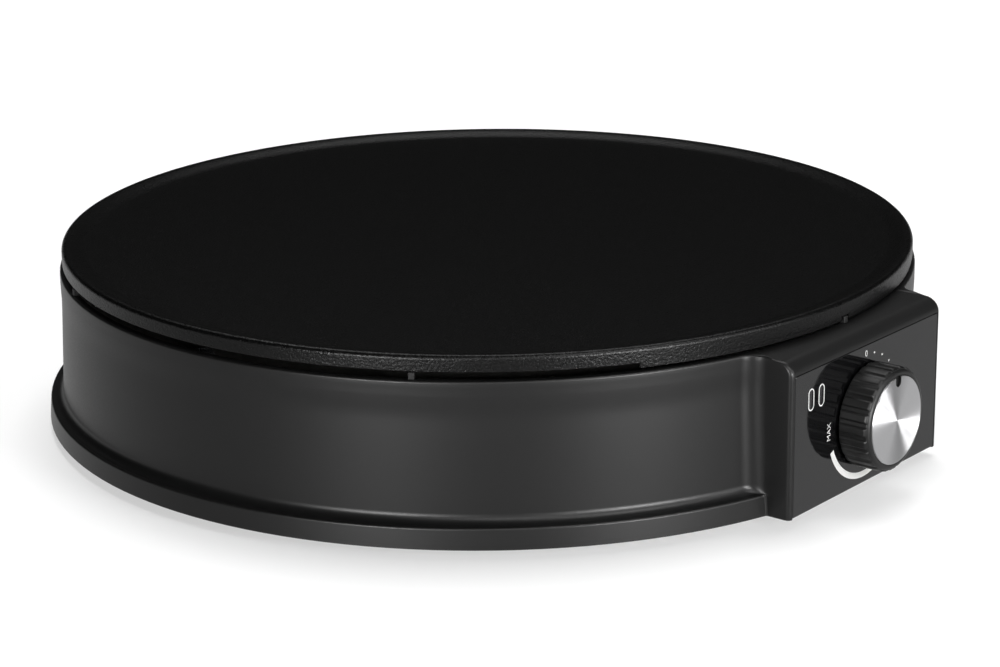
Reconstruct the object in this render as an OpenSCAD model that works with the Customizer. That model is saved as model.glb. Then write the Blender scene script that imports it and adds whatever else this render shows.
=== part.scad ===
// Electric crepe maker: a round coated plate over a low round housing, with a control box
// on the front. Millimetres, +Z up. The plate's axis is the Z axis, the object stands on
// z = 0, and the control panel faces -Y.

/* [Cooking plate] */
// Diameter of the plate across its outer side
plate_d = 301; // [280:1:330]
// Thickness of the plate under its flat cooking face
plate_t = 3.2; // [2.8:0.1:4]
// Width of the raised border, from the flat face to the side
border_w = 9.5; // [6:0.5:16]
// Rise of the border's crest above the cooking face
border_rise = 2.1; // [1:0.1:3.5]
// Open gap between the plate and the housing
plate_gap = 2.7; // [2:0.1:5]
// Depth of the batter lip that hangs from the plate over the control box
batter_lip_h = 1.6; // [0.8:0.1:1.8]
// Angle that the batter lip covers, centred on the control box
batter_lip_angle = 65; // [40:1:90]

/* [Housing] */
// Height of the housing, without its feet
shell_h = 53.5; // [52:0.5:62]
// Wall thickness of the housing
wall = 2.5; // [2.3:0.1:3]
// How far the housing's rim stands out past the plate, on each side
shell_over = 0.5; // [0.2:0.1:3]
// How much wider the wall is at its foot than at its rim, on each side
wall_draft = 1.4; // [0.5:0.1:1.6]
// Height of the foot flange
flange_h = 7.3; // [6:0.1:9]
// How far the foot flange stands out from the wall
flange_out = 5.1; // [5:0.1:8]
// Radius of the cove between the wall and the flange
cove_r = 3.2; // [1:0.1:4]
// Height of the bead around the housing's rim
bead_h = 3.5; // [2:0.1:6]
// How far the bead stands out
bead_out = 0.45; // [0.2:0.05:1]
// Number of screw pillars inside the wall
pillar_count = 6; // [4:2:8]
// Diameter of a screw pillar
pillar_d = 10.5; // [9:0.5:12]

/* [Control box] */
// Width of the control box
box_w = 90.4; // [88:0.2:100]
// How far the box's front stands out from the housing's rim
box_out = 8.6; // [8:0.1:16]
// Radius of the hollow corner between the box and the round wall
box_blend_r = 7; // [4:0.5:10]
// Height of the glossy panel
panel_h = 47.7; // [46:0.1:48]
// Width of the glossy panel
panel_w = 87; // [84:0.5:88]
// Thickness of the glossy panel
panel_t = 1.2; // [0.8:0.1:1.6]
// Depth of the round edge between the panel and the box's top
brow_depth = 5.6; // [3:0.1:7]
// How far the box's top falls towards that edge
brow_fall = 0.7; // [0.2:0.1:1]

/* [Knob] */
// Place of the dial from the box's middle, positive to the right
dial_x = -1.5; // [-6:0.5:6]
// Height of the dial above the housing's underside
dial_h = 24.8; // [23:0.1:26]
// Diameter of the knob across its ribs
knob_d = 35; // [32:0.5:38]
// How far the knob stands out from the panel
knob_h = 12.4; // [11:0.1:18]
// Number of ribs around the knob
rib_count = 24; // [12:1:36]
// Depth of the grooves between the ribs
rib_depth = 0.6; // [0.3:0.05:0.8]
// Diameter of the metal disc on the knob
cap_d = 29.6; // [24:0.1:30]
// Gap between the knob and the panel
knob_gap = 0.6; // [0.4:0.1:1]
// Diameter of the thermostat's shaft
shaft_d = 6; // [5:0.5:7]

/* [Indicator lamps] */
// Width of a lamp's lens
lens_w = 2.3; // [1.8:0.1:2.6]
// Length of a lamp's lens
lens_l = 6.6; // [5:0.1:7]
// Distance between the two lamps
lamp_pitch = 6; // [5.8:0.1:7]
// Place of the lamps' middle, to the left of the box's middle
lamp_x = 31; // [29:0.5:32]
// Height of the lamps' middle above the housing's underside
lamp_h = 38.1; // [36:0.1:39]

/* [Heating] */
// Radius of the heating element's ring
element_r = 95; // [84:1:98]
// Diameter of the heating element's tube
element_d = 8; // [6:0.5:8.5]
// Clearance between the element's straps and the reflector pan's wall
pan_clearance = 0.2; // [0.2:0.1:2]
// Depth of the reflector pan
pan_depth = 19; // [18:0.5:22]
// Thickness of the pan's sheet
sheet_t = 0.8; // [0.6:0.1:1.2]
// Radius of the circle that the plate's posts stand on
post_circle_r = 62; // [56:1:68]
// Diameter of a plate post
post_d = 12; // [10:0.5:14]
// Number of plate posts
post_count = 4; // [3:1:4]
// Diameter of the thermostat's sensing bulb
bulb_d = 6; // [5:0.5:7]
// Length of the sensing bulb
bulb_l = 64; // [50:1:70]

/* [Base] */
// Height of the rubber feet
foot_h = 3; // [2:0.5:8]
// Diameter of a rubber foot
foot_d = 18; // [14:1:22]
// Radius of the circle that the feet stand on
foot_circle_r = 126; // [115:1:130]
// Thickness of the base cover
cover_t = 2; // [2:0.1:3]
// Number of air slots in each ring of the base cover
slot_count = 16; // [8:1:20]
// Width of an air slot
slot_w = 3; // [2:0.1:3.6]
// Bore of the cable gland
gland_bore_d = 8; // [6:0.5:9]
// Height of the cable gland above the housing's underside
gland_h = 19; // [18:0.5:24]

/* [Hidden] */
$fn = 96;

// Clearances
seat = 0.3;          // a soft or round piece beside what carries it
fit = 0.15;          // a flat piece in its recess
free_hole = 0.3;     // a screw in a plain hole
thread = 0.1;        // a screw in its threaded hole
running = 0.05;      // the shaft in its bearing
eps = 0.01;
over = 1;            // how far a cut runs past the face it opens

// Heights
shell_top = foot_h + shell_h;
flange_top = foot_h + flange_h;
bead_foot = shell_top - bead_h;
plate_foot = shell_top + plate_gap;
face_z = plate_foot + plate_t;
crest_z = face_z + border_rise;
cover_top = foot_h + cover_t;
shelf_top = bead_foot;
shelf_foot = shelf_top - wall;
pan_floor_foot = shelf_top - pan_depth;
pan_floor_top = pan_floor_foot + sheet_t;

// Radii
plate_r = plate_d / 2;
crest_edge = 1.5;
batter_lip_t = 1.6;
batter_lip_inset = 0.3;
shell_r = plate_r + shell_over;
shell_foot_r = shell_r + wall_draft;
flange_r = shell_foot_r + flange_out;
flange_taper = 0.5;
edge_r = 0.8;
inner_r = shell_r - wall;
inner_foot_r = shell_foot_r - wall;
cover_room_r = flange_r - flange_taper - wall;

// Control box
box_half = box_w / 2;
face_y = shell_r + box_out;
box_corner_r = 1.6;
box_back = 100;
panel_foot = foot_h + 0.5;
panel_top = panel_foot + panel_h;
panel_back = face_y - panel_t;
box_inside = panel_back - wall;
// the hollow corner's axis lies just near enough for its curve to run into the wall
box_blend_axis_r = shell_r + box_blend_r - 0.1;
box_blend_x = box_half + box_blend_r;
box_blend_y = sqrt(pow(box_blend_axis_r, 2) - pow(box_blend_x, 2));
box_blend_foot = (shell_r - wall / 2) / box_blend_axis_r;

// Pieces behind the panel
dial_z = foot_h + dial_h;
shaft_r = shaft_d / 2;
shaft_room = 1;
lamp_z = foot_h + lamp_h;
lens_flange = 1;
lens_rim = 1;
lens_proud = 0.1;
neon_r = 2.2;
neon_l = 12;
neon_gap = 0.5;
neon_front = box_inside - lens_flange - neon_gap;
holder_back = neon_front - neon_l - 1;
holder_l = 9;
holder_t = 2.5;
lamp_stud_r = 3.5;
lamp_stud_drop = 7;
bracket_t = 1;
bracket_w = 36;
bracket_h = 34;
stat_w = 34;
stat_h = 28;
stat_l = 25;
stat_front = box_inside - bracket_t;
stat_back = stat_front - stat_l;
stat_screw_pitch = 28;
stat_lug_l = 10;
stat_lug_r = 4;
stat_tab = [6, 7, 0.8];
stat_tab_x = 9;
stat_tab_foot = dial_z - 4;
stat_tube_x = dial_x + 12;
stat_tube_z = dial_z + 3;
bearing_l = 14;
collar_l = 2;
collar_r = shaft_r + 1.8;

// Screws: shank radius, head radius, head height
wood_screw = [1.75, 3.6, 1.9];
wood_grip = 10;
grip = 5;
pillar_start = -90 + 180 / pillar_count;
pillar_circle_r = inner_r - seat - wood_screw[1];
shelf_r = pillar_circle_r - pillar_d / 2 + 1;
m4 = [2, 3.5, 2.2];
m5 = [2.5, 4.6, 2.8];
m3 = [1.5, 2.7, 1.6];

// Heating
element_tube_r = element_d / 2;
element_z = plate_foot - seat - element_tube_r;
element_gap_angle = 18;
element_bend_r = 8;
element_clearance = 7;
insulator_r = element_tube_r + 1.8;
insulator_h = 3.5;
leg_foot = pan_floor_foot - 10;
pin_r = 1.6;
pin_l = 6;
clip_w = 9.6;
clip_t = 1.5;
clip_reach = element_tube_r + 7;
pan_r = element_r + clip_reach + clip_w / 2 + pan_clearance;
pan_rise = 5;
clip_angles = [-40, 25, 90, 155, 220];
clip_boss_r = 4;
post_boss_h = 4;
post_boss_r = post_d / 2 + 1.5;
bulb_reach = bulb_d / 2 + 6;
bulb_y = element_r - element_tube_r - bulb_reach - clip_w / 2 - 11.2;
bulb_z = plate_foot - seat - bulb_d / 2;
bulb_clip_x = bulb_l / 2 - 12;
fuse_r = 2;
fuse_l = 14;
fuse_reach = fuse_r + 6;
fuse_y = element_r - clip_reach - clip_boss_r - fuse_reach - clip_w / 2 - element_clearance - 0.2;
fuse_z = plate_foot - seat - fuse_r;
spacer_count = 6;
spacer_w = 2;
spacer_r = shell_r - 1.3;

// Base
foot_stud_r = foot_d / 6;
foot_stud_h = 2.5;
foot_barb = 1.2;
slot_rings = [[48, 22], [82, 26]];
label = [60, 26, 0.4];
label_y = -130;
gland_z = foot_h + gland_h;
gland_r = gland_bore_d / 2;
gland_wall = 2;
gland_pad_r = gland_r + gland_wall + 4;
gland_pad_y = shell_foot_r + 0.9;
gland_back = inner_r - 4;
gland_lip = 2.5;
gland_barb = 1.5;
block_w = 34;
block_d = 18;
block_t = 14;
block_y = 108;
block_foot = cover_top + 4;
block_pitch = 11.4;
block_z = block_foot + block_t / 2;
barrel_r = 2.4;
barrel_bore_r = 1.6;
clamp_y = 132;
clamp_half = gland_r + 8;
clamp_foot = cover_top + 8;
clamp_t = 4;
block_stud_r = 3.6;
clamp_stud_r = 4.2;
blind_floor = 0.8;
earth_y = 62;
lead_r = 1.4;
thin_lead_r = 0.8;
lead_hole_r = 5;
lead_hole = [-28, element_r - 19];
tube_hole = [bulb_l / 2 + 12, -bulb_y];
tube_hole_r = 4;
tag_t = 0.8;
tag_barrel_r = 2.2;
tag_barrel_y = earth_y + 15;
tag_barrel_z = pan_floor_foot - tag_barrel_r - seat;

// Points of an arc about c, from angle a0 to a1
function arc(c, r, a0, a1, n) =
    [for (i = [0:n]) c + r * [cos(a0 + (a1 - a0) * i / n), sin(a0 + (a1 - a0) * i / n)]];
function unit(v) = v / norm(v);
// A smooth curve from q to r that leaves along u and arrives along v
function curve(q, r, u, v, t) = let (l = norm(r - q), t2 = t * t, t3 = t * t * t)
    (2 * t3 - 3 * t2 + 1) * q + (3 * t2 - 2 * t3) * r + l * ((t3 - 2 * t2 + t) * u + (t3 - t2) * v);
// Direction of a route at its point i, halfway between the runs before and after it
function heading(pts, i) =
    i == 0 ? unit(pts[1] - pts[0])
    : i == len(pts) - 1 ? unit(pts[i] - pts[i - 1])
    : unit(unit(pts[i] - pts[i - 1]) + unit(pts[i + 1] - pts[i]));
function route(pts, n) = [
    for (i = [0:len(pts) - 2], k = [0:n - 1])
        curve(pts[i], pts[i + 1], heading(pts, i), heading(pts, i + 1), k / n),
    pts[len(pts) - 1]
];
function tangents(p, first, final) =
    concat([first], [for (i = [1:len(p) - 2]) unit(p[i + 1] - p[i - 1])], [final]);
function across(t, side) = unit(side - (side * t) * t);
function sides(t, side, i = 0) =
    i == len(t) ? [] : let (s = across(t[i], side)) concat([s], sides(t, s, i + 1));

// A round lead through the points pts, closed at both ends
module lead(pts, r) {
    n = 8;
    p = route(pts, 6);
    t = tangents(p, heading(pts, 0), heading(pts, len(pts) - 1));
    s = sides(t, [0.31, 0.17, 0.93]);
    rings = [
        for (i = [0:len(p) - 1], k = [0:n - 1])
            p[i] + r * (cos(360 * k / n) * s[i] + sin(360 * k / n) * cross(t[i], s[i]))
    ];
    last = len(p) - 1;
    skin = [
        for (i = [0:last - 1], k = [0:n - 1], half = [0, 1])
            half == 0
                ? [i * n + k, (i + 1) * n + k, i * n + (k + 1) % n]
                : [i * n + (k + 1) % n, (i + 1) * n + k, (i + 1) * n + (k + 1) % n]
    ];
    polyhedron(rings, concat(skin, [[for (k = [0:n - 1]) k], [for (k = [n - 1:-1:0]) last * n + k]]));
}

// Extrudes along X a shape whose first axis points at the panel and second axis up
module along_x(w) {
    rotate([90, 0, -90]) linear_extrude(w, center = true) children();
}
// Places a piece that points at the panel at x and z, with its foot at the depth y
module at_panel(x, y, z) {
    translate([x, -y, z]) rotate([90, 0, 0]) children();
}
module around(n, r, start = 0) {
    for (i = [0:n - 1]) rotate(start + 360 * i / n) translate([r, 0, 0]) children();
}
// A screw that points down, with its head resting on z = 0
module screw(size, l) {
    translate([0, 0, -l]) cylinder(r = size[0], h = l + eps);
    cylinder(r = size[1], h = size[2]);
}
module flat_screw(size, l, head) {
    translate([0, 0, -l]) cylinder(r = size[0], h = l);
    translate([0, 0, -head]) cylinder(r1 = size[0], r2 = size[1], h = head);
}
module pill(w, l, h) {
    linear_extrude(h) {
        square([w, l - w], center = true);
        for (s = [-1, 1]) translate([0, s * (l - w) / 2]) circle(d = w);
    }
}
// A strap under a round piece, screwed up to a boss on each side of it
module strap(reach, z) {
    translate([0, 0, z - clip_t]) difference() {
        linear_extrude(clip_t) {
            square([2 * reach, clip_w], center = true);
            for (s = [-1, 1]) translate([s * reach, 0]) circle(d = clip_w);
        }
        for (s = [-1, 1]) translate([s * reach, 0, -over])
            cylinder(r = m3[0] + free_hole, h = clip_t + 2 * over);
    }
}
module strap_bosses(reach, z) {
    for (s = [-1, 1]) translate([s * reach, 0, z]) cylinder(r = clip_boss_r, h = plate_foot - z + eps);
}
module strap_bores(reach, z) {
    for (s = [-1, 1]) translate([s * reach, 0, z - over])
        cylinder(r = m3[0] + thread, h = grip + 1 + over);
}
module strap_screws(reach, z) {
    for (s = [-1, 1]) translate([s * reach, 0, z - clip_t]) mirror([0, 0, 1]) screw(m3, clip_t + grip);
}
// The element's two legs, on either side of the gap in its ring
module at_element_legs() {
    for (s = [-1, 1]) scale([s, 1, 1]) rotate(-90 + element_gap_angle)
        translate([element_r, -element_bend_r, 0]) children();
}
// Places of the straps: under the element, under the sensing bulb and under the fuse
element_strap_z = element_z - element_tube_r - seat;
bulb_strap_z = bulb_z - bulb_d / 2 - seat;
fuse_strap_z = fuse_z - fuse_r - seat;
module at_element_clips() {
    for (a = clip_angles) rotate(a) translate([element_r, 0, 0]) children();
}
module at_bulb_clips() {
    for (s = [-1, 1]) translate([s * bulb_clip_x, -bulb_y, 0]) rotate(90) children();
}
module at_fuse_clip() {
    translate([0, fuse_y, 0]) rotate(90) children();
}

module box_plan(half, front, corner) {
    polygon(concat(
        [[half, -box_back]],
        [[-half, -box_back]],
        arc([-half + corner, -front + corner], corner, 180, 270, 6),
        arc([half - corner, -front + corner], corner, 270, 360, 6)
    ));
}

module box_body() {
    brow_z = panel_top;
    brow_rise = shell_top - brow_fall - brow_z;
    intersection() {
        translate([0, 0, foot_h]) linear_extrude(shell_h) box_plan(box_half, face_y, box_corner_r);
        along_x(box_w + 2) polygon(concat(
            [[box_back - over, foot_h - over], [face_y + eps, foot_h - over]],
            [for (a = [0:10:90]) [
                face_y + eps - brow_depth * (1 - cos(a)), brow_z + brow_rise * sin(a)
            ]],
            [[shell_r - 1, shell_top], [box_back - over, shell_top]]
        ));
    }
    // hollow corners between the box and the round wall
    for (s = [-1, 1]) scale([s, 1, 1]) translate([0, 0, flange_top - edge_r])
        linear_extrude(shell_h - flange_h + edge_r) difference() {
            polygon([
                [box_half - 1, -box_blend_y],
                [box_blend_x, -box_blend_y],
                [box_blend_x * box_blend_foot, -box_blend_y * box_blend_foot],
                [box_half - 1, -box_blend_y * box_blend_foot]
            ]);
            translate([box_blend_x, -box_blend_y]) circle(r = box_blend_r);
        }
}

module shell_outside() {
    rotate_extrude($fn = 180) polygon(concat(
        [[0, foot_h], [flange_r, foot_h]],
        arc([flange_r - flange_taper - edge_r, flange_top - edge_r], edge_r, 0, 90, 4),
        arc([shell_foot_r + cove_r, flange_top + cove_r], cove_r, 270, 180, 8),
        [[shell_r, bead_foot - bead_out], [shell_r + bead_out, bead_foot]],
        arc([shell_r + bead_out - edge_r, shell_top - edge_r], edge_r, 0, 90, 4),
        [[0, shell_top]]
    ));
    box_body();
}

module shell_inside() {
    rotate_extrude($fn = 180) polygon([
        [0, foot_h - over], [cover_room_r, foot_h - over], [cover_room_r, flange_top - wall],
        [inner_foot_r, flange_top - wall], [inner_r, shelf_foot], [inner_r, shell_top + over],
        [0, shell_top + over]
    ]);
    translate([0, 0, foot_h - over]) linear_extrude(shelf_top - foot_h + over)
        box_plan(box_half - wall, box_inside, box_corner_r / 2);
}

module lamp_boss() {
    translate([-lamp_x, 0, lamp_z - lens_l / 2 - lamp_stud_drop]) children();
}

module housing_shell() {
    color([0.17, 0.17, 0.17]) difference() {
        union() {
            difference() {
                shell_outside();
                shell_inside();
            }
            // shelf for the reflector pan
            translate([0, 0, shelf_foot]) difference() {
                cylinder(r = inner_r + wall / 2, h = wall, $fn = 180);
                translate([0, 0, -over]) cylinder(r = shelf_r, h = wall + 2 * over, $fn = 180);
            }
            around(pillar_count, pillar_circle_r, pillar_start) translate([0, 0, cover_top]) {
                cylinder(d = pillar_d, h = shelf_top - cover_top);
                translate([0, -pillar_d * 0.3, 0])
                    cube([inner_foot_r + 0.6 - pillar_circle_r, pillar_d * 0.6, shelf_foot - cover_top]);
            }
            // seat of the cable gland at the back
            translate([0, gland_back + gland_barb, gland_z]) rotate([-90, 0, 0])
                cylinder(r = gland_pad_r, h = gland_pad_y - gland_back - gland_barb);
            // stud that carries the lamp holder
            lamp_boss() at_panel(0, holder_back + holder_l, 0)
                cylinder(r = lamp_stud_r, h = box_inside - holder_back - holder_l + eps);
        }
        around(pillar_count, pillar_circle_r, pillar_start) {
            translate([0, 0, cover_top - over])
                cylinder(r = wood_screw[0] + thread, h = wood_grip + 2 + over);
            translate([0, 0, shelf_top - wood_grip - 2])
                cylinder(r = wood_screw[0] + thread, h = wood_grip + 2 + over);
        }
        translate([0, gland_back - over, gland_z]) rotate([-90, 0, 0])
            cylinder(r = gland_r + gland_wall + fit, h = gland_pad_y - gland_back + 2 * over);
        // recess of the panel, and what passes through the box's front
        translate([0, 0, foot_h - over]) linear_extrude(panel_top - foot_h + over)
            translate([-panel_w / 2, -face_y - over]) square([panel_w, panel_t + over]);
        at_panel(dial_x, box_inside - over, dial_z) cylinder(r = shaft_r + shaft_room, h = wall + 2 * over);
        for (s = [-1, 1]) at_panel(dial_x, box_inside - over, dial_z + s * stat_screw_pitch / 2) {
            cylinder(r = m3[0] + free_hole, h = wall + 2 * over);
            translate([0, 0, over + wall - m3[2] - fit]) cylinder(r = m3[1] + free_hole, h = m3[2] + over);
        }
        for (s = [-1, 1]) at_panel(-lamp_x + s * lamp_pitch / 2, box_inside - over, lamp_z)
            pill(lens_w + 2 * fit, lens_l + 2 * fit, wall + 2 * over);
        lamp_boss() at_panel(0, holder_back + holder_l - over, 0)
            cylinder(r = m3[0] + thread, h = box_inside - holder_back - holder_l + over);
    }
}

module control_panel() {
    color([0.05, 0.05, 0.05]) difference() {
        translate([-panel_w / 2 + fit, -face_y, panel_foot])
            cube([panel_w - 2 * fit, panel_t, panel_h - fit]);
        at_panel(dial_x, panel_back - over, dial_z) cylinder(r = shaft_r + shaft_room, h = panel_t + 2 * over);
        for (s = [-1, 1]) at_panel(-lamp_x + s * lamp_pitch / 2, panel_back - over, lamp_z)
            pill(lens_w + 2 * fit, lens_l + 2 * fit, panel_t + 2 * over);
    }
}

module base_cover() {
    color([0.12, 0.12, 0.12]) difference() {
        union() {
            translate([0, 0, foot_h]) linear_extrude(cover_t) {
                circle(r = cover_room_r - seat, $fn = 180);
                box_plan(box_half - wall - seat, box_inside - seat, box_corner_r / 2);
            }
            for (s = [-1, 1]) translate([s * block_pitch / 2, block_y, cover_top - eps])
                cylinder(r = block_stud_r, h = block_foot - cover_top + eps);
            for (s = [-1, 1]) translate([s * clamp_half, clamp_y, cover_top - eps])
                cylinder(r = clamp_stud_r, h = clamp_foot - cover_top + eps);
        }
        around(pillar_count, pillar_circle_r, pillar_start) translate([0, 0, foot_h - eps])
            cylinder(r1 = wood_screw[1] + free_hole, r2 = wood_screw[0] + free_hole, h = cover_t + 2 * eps);
        around(4, foot_circle_r, 45) translate([0, 0, foot_h - over])
            cylinder(r = foot_stud_r + seat, h = cover_t + 2 * over);
        for (ring = slot_rings) around(slot_count, ring[0] + ring[1] / 2, 360 / slot_count / 2)
            translate([0, 0, foot_h - over]) rotate(90) pill(slot_w, ring[1], cover_t + 2 * over);
        for (s = [-1, 1]) translate([s * block_pitch / 2, block_y, foot_h + blind_floor])
            cylinder(r = m3[0] + thread, h = block_foot - foot_h);
        for (s = [-1, 1]) translate([s * clamp_half, clamp_y, foot_h + blind_floor])
            cylinder(r = m3[0] + thread, h = clamp_foot - foot_h);
        // bare place for the rating label
        translate([-label[0] / 2, label_y, foot_h - over]) cube([label[0], label[1], over + label[2]]);
    }
}

module rubber_feet() {
    color([0.08, 0.08, 0.08]) around(4, foot_circle_r, 45) {
        rotate_extrude() polygon([
            [0, 0], [foot_d / 2 - 1, 0], [foot_d / 2, 1], [foot_d / 2, foot_h], [foot_stud_r, foot_h],
            [foot_stud_r, cover_top + fit], [foot_stud_r + foot_barb, cover_top + fit],
            [foot_stud_r, cover_top + foot_stud_h], [0, cover_top + foot_stud_h]
        ]);
    }
}

module base_screws() {
    color([0.6, 0.6, 0.62]) around(pillar_count, pillar_circle_r, pillar_start) translate([0, 0, foot_h])
        mirror([0, 0, 1]) flat_screw(wood_screw, cover_t + wood_grip, cover_t);
}

module griddle_plate() {
    steps = 8;
    crest_r = plate_r - crest_edge;
    cove_w = border_w - crest_edge;
    color([0.1, 0.1, 0.1]) difference() {
        union() {
            rotate_extrude($fn = 180) polygon(concat(
                [[0, plate_foot], [plate_r, plate_foot]],
                arc([crest_r, crest_z - crest_edge], crest_edge, 0, 90, 4),
                [for (i = [1:steps]) [
                    crest_r - cove_w * i / steps,
                    face_z + border_rise * (1 + cos(180 * i / steps)) / 2
                ]],
                [[0, face_z]]
            ));
            around(post_count, post_circle_r, 45) translate([0, 0, plate_foot - post_boss_h])
                cylinder(r = post_boss_r, h = post_boss_h + eps);
            at_element_clips() strap_bosses(clip_reach, element_strap_z);
            at_bulb_clips() strap_bosses(bulb_reach, bulb_strap_z);
            at_fuse_clip() strap_bosses(fuse_reach, fuse_strap_z);
            // lip that keeps batter out of the gap over the control box
            difference() {
                rotate([0, 0, -90 - batter_lip_angle / 2]) rotate_extrude(angle = batter_lip_angle, $fn = 180)
                    translate([plate_r - batter_lip_inset - batter_lip_t, plate_foot - batter_lip_h])
                        square([batter_lip_t, batter_lip_h + batter_lip_t]);
                translate([-spacer_w, -plate_r - over, plate_foot - batter_lip_h - over])
                    cube([2 * spacer_w, batter_lip_t + batter_lip_inset + 2 * over, batter_lip_h + over]);
            }
        }
        around(post_count, post_circle_r, 45) translate([0, 0, plate_foot - post_boss_h - over])
            cylinder(r = m5[0] + thread, h = post_boss_h + plate_t - blind_floor + over);
        at_element_clips() strap_bores(clip_reach, element_strap_z);
        at_bulb_clips() strap_bores(bulb_reach, bulb_strap_z);
        at_fuse_clip() strap_bores(fuse_reach, fuse_strap_z);
    }
}

module rim_spacers() {
    color([0.35, 0.35, 0.35]) around(spacer_count, spacer_r, 30)
        translate([-spacer_w / 2, -spacer_w / 2, shell_top]) cube([spacer_w, spacer_w, plate_gap - seat]);
}

module reflector_pan() {
    lip_r = inner_r - seat;
    color([0.72, 0.72, 0.7]) difference() {
        rotate_extrude($fn = 180) polygon([
            [0, pan_floor_foot], [pan_r, pan_floor_foot], [pan_r + pan_rise, shelf_top], [lip_r, shelf_top],
            [lip_r, shelf_top + sheet_t], [pan_r + pan_rise - sheet_t, shelf_top + sheet_t],
            [pan_r - sheet_t, pan_floor_top], [0, pan_floor_top]
        ]);
        around(pillar_count, pillar_circle_r, pillar_start) translate([0, 0, shelf_top - over])
            cylinder(r = wood_screw[0] + free_hole, h = sheet_t + 2 * over);
        around(post_count, post_circle_r, 45) translate([0, 0, pan_floor_foot - over])
            cylinder(r = m5[0] + free_hole, h = sheet_t + 2 * over);
        at_element_legs() translate([0, 0, pan_floor_foot - over])
            cylinder(r = insulator_r + free_hole, h = sheet_t + 2 * over);
        translate([0, earth_y, pan_floor_foot - over]) cylinder(r = m4[0] + thread, h = sheet_t + 2 * over);
        for (s = [-1, 1]) translate([s * lead_hole[0], lead_hole[1], pan_floor_foot - over])
            cylinder(r = lead_hole_r, h = sheet_t + 2 * over);
        translate([tube_hole[0], tube_hole[1], pan_floor_foot - over])
            cylinder(r = tube_hole_r, h = sheet_t + 2 * over);
    }
}

module reflector_screws() {
    color([0.6, 0.6, 0.62]) around(pillar_count, pillar_circle_r, pillar_start) translate([0, 0, shelf_top + sheet_t])
        screw(wood_screw, wood_grip);
}

module plate_posts() {
    color([0.65, 0.65, 0.67]) around(post_count, post_circle_r, 45) translate([0, 0, pan_floor_top])
        difference() {
            h = plate_foot - post_boss_h - pan_floor_top;
            cylinder(d = post_d, h = h);
            translate([0, 0, -over]) cylinder(r = m5[0] + free_hole, h = h + 2 * over);
        }
}

module post_screws() {
    l = plate_foot - pan_floor_foot + plate_t - blind_floor - 1;
    color([0.6, 0.6, 0.62]) around(post_count, post_circle_r, 45) translate([0, 0, pan_floor_foot])
        mirror([0, 0, 1]) screw(m5, l);
}

module heating_element() {
    color([0.45, 0.45, 0.47]) {
        rotate(-90 + element_gap_angle) rotate_extrude(angle = 360 - 2 * element_gap_angle, $fn = 180)
            translate([element_r, element_z]) circle(r = element_tube_r, $fn = 48);
        at_element_legs() {
            translate([0, element_bend_r, element_z - element_bend_r]) rotate([0, -90, 180])
                rotate_extrude(angle = 90) translate([element_bend_r, 0]) circle(r = element_tube_r, $fn = 48);
            translate([0, 0, leg_foot]) cylinder(r = element_tube_r, h = element_z - element_bend_r - leg_foot);
            translate([0, 0, leg_foot - pin_l]) cylinder(r = pin_r, h = pin_l + eps);
        }
    }
}

module element_insulators() {
    color([0.92, 0.9, 0.85]) at_element_legs() difference() {
        union() {
            translate([0, 0, pan_floor_foot - insulator_h])
                cylinder(r = insulator_r, h = 2 * insulator_h + sheet_t);
            translate([0, 0, pan_floor_top]) cylinder(r = insulator_r + 2.2, h = insulator_h);
        }
        translate([0, 0, pan_floor_foot - insulator_h - over])
            cylinder(r = element_tube_r + fit, h = 2 * (insulator_h + over) + sheet_t);
    }
}

module element_clips() {
    color([0.7, 0.7, 0.72]) at_element_clips() strap(clip_reach, element_strap_z);
}

module bulb_clips() {
    color([0.7, 0.7, 0.72]) at_bulb_clips() strap(bulb_reach, bulb_strap_z);
}

module fuse_clip() {
    color([0.7, 0.7, 0.72]) at_fuse_clip() strap(fuse_reach, fuse_strap_z);
}

module clip_screws() {
    color([0.6, 0.6, 0.62]) {
        at_element_clips() strap_screws(clip_reach, element_strap_z);
        at_bulb_clips() strap_screws(bulb_reach, bulb_strap_z);
        at_fuse_clip() strap_screws(fuse_reach, fuse_strap_z);
    }
}

module sensor_bulb() {
    color([0.75, 0.5, 0.35]) translate([-bulb_l / 2, -bulb_y, bulb_z]) rotate([0, 90, 0]) {
        cylinder(d = bulb_d, h = bulb_l);
        translate([0, 0, bulb_l - eps]) cylinder(r1 = bulb_d / 2, r2 = 1.2, h = 4);
    }
}

module capillary_tube() {
    start = bulb_l / 2 + 4;
    color([0.75, 0.5, 0.35]) lead([
        [start, -bulb_y, bulb_z], [start + 3, -bulb_y, bulb_z],
        [tube_hole[0], tube_hole[1], pan_floor_top + 6], [tube_hole[0], tube_hole[1], pan_floor_foot - 6],
        [tube_hole[0] - 4, tube_hole[1] - 20, pan_floor_foot - 12],
        [stat_tube_x, -stat_back + 10, stat_tube_z], [stat_tube_x, -stat_back, stat_tube_z]
    ], 1);
}

module thermal_fuse() {
    color([0.85, 0.8, 0.6]) translate([-fuse_l / 2, fuse_y, fuse_z]) rotate([0, 90, 0])
        cylinder(r = fuse_r, h = fuse_l);
}

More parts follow.
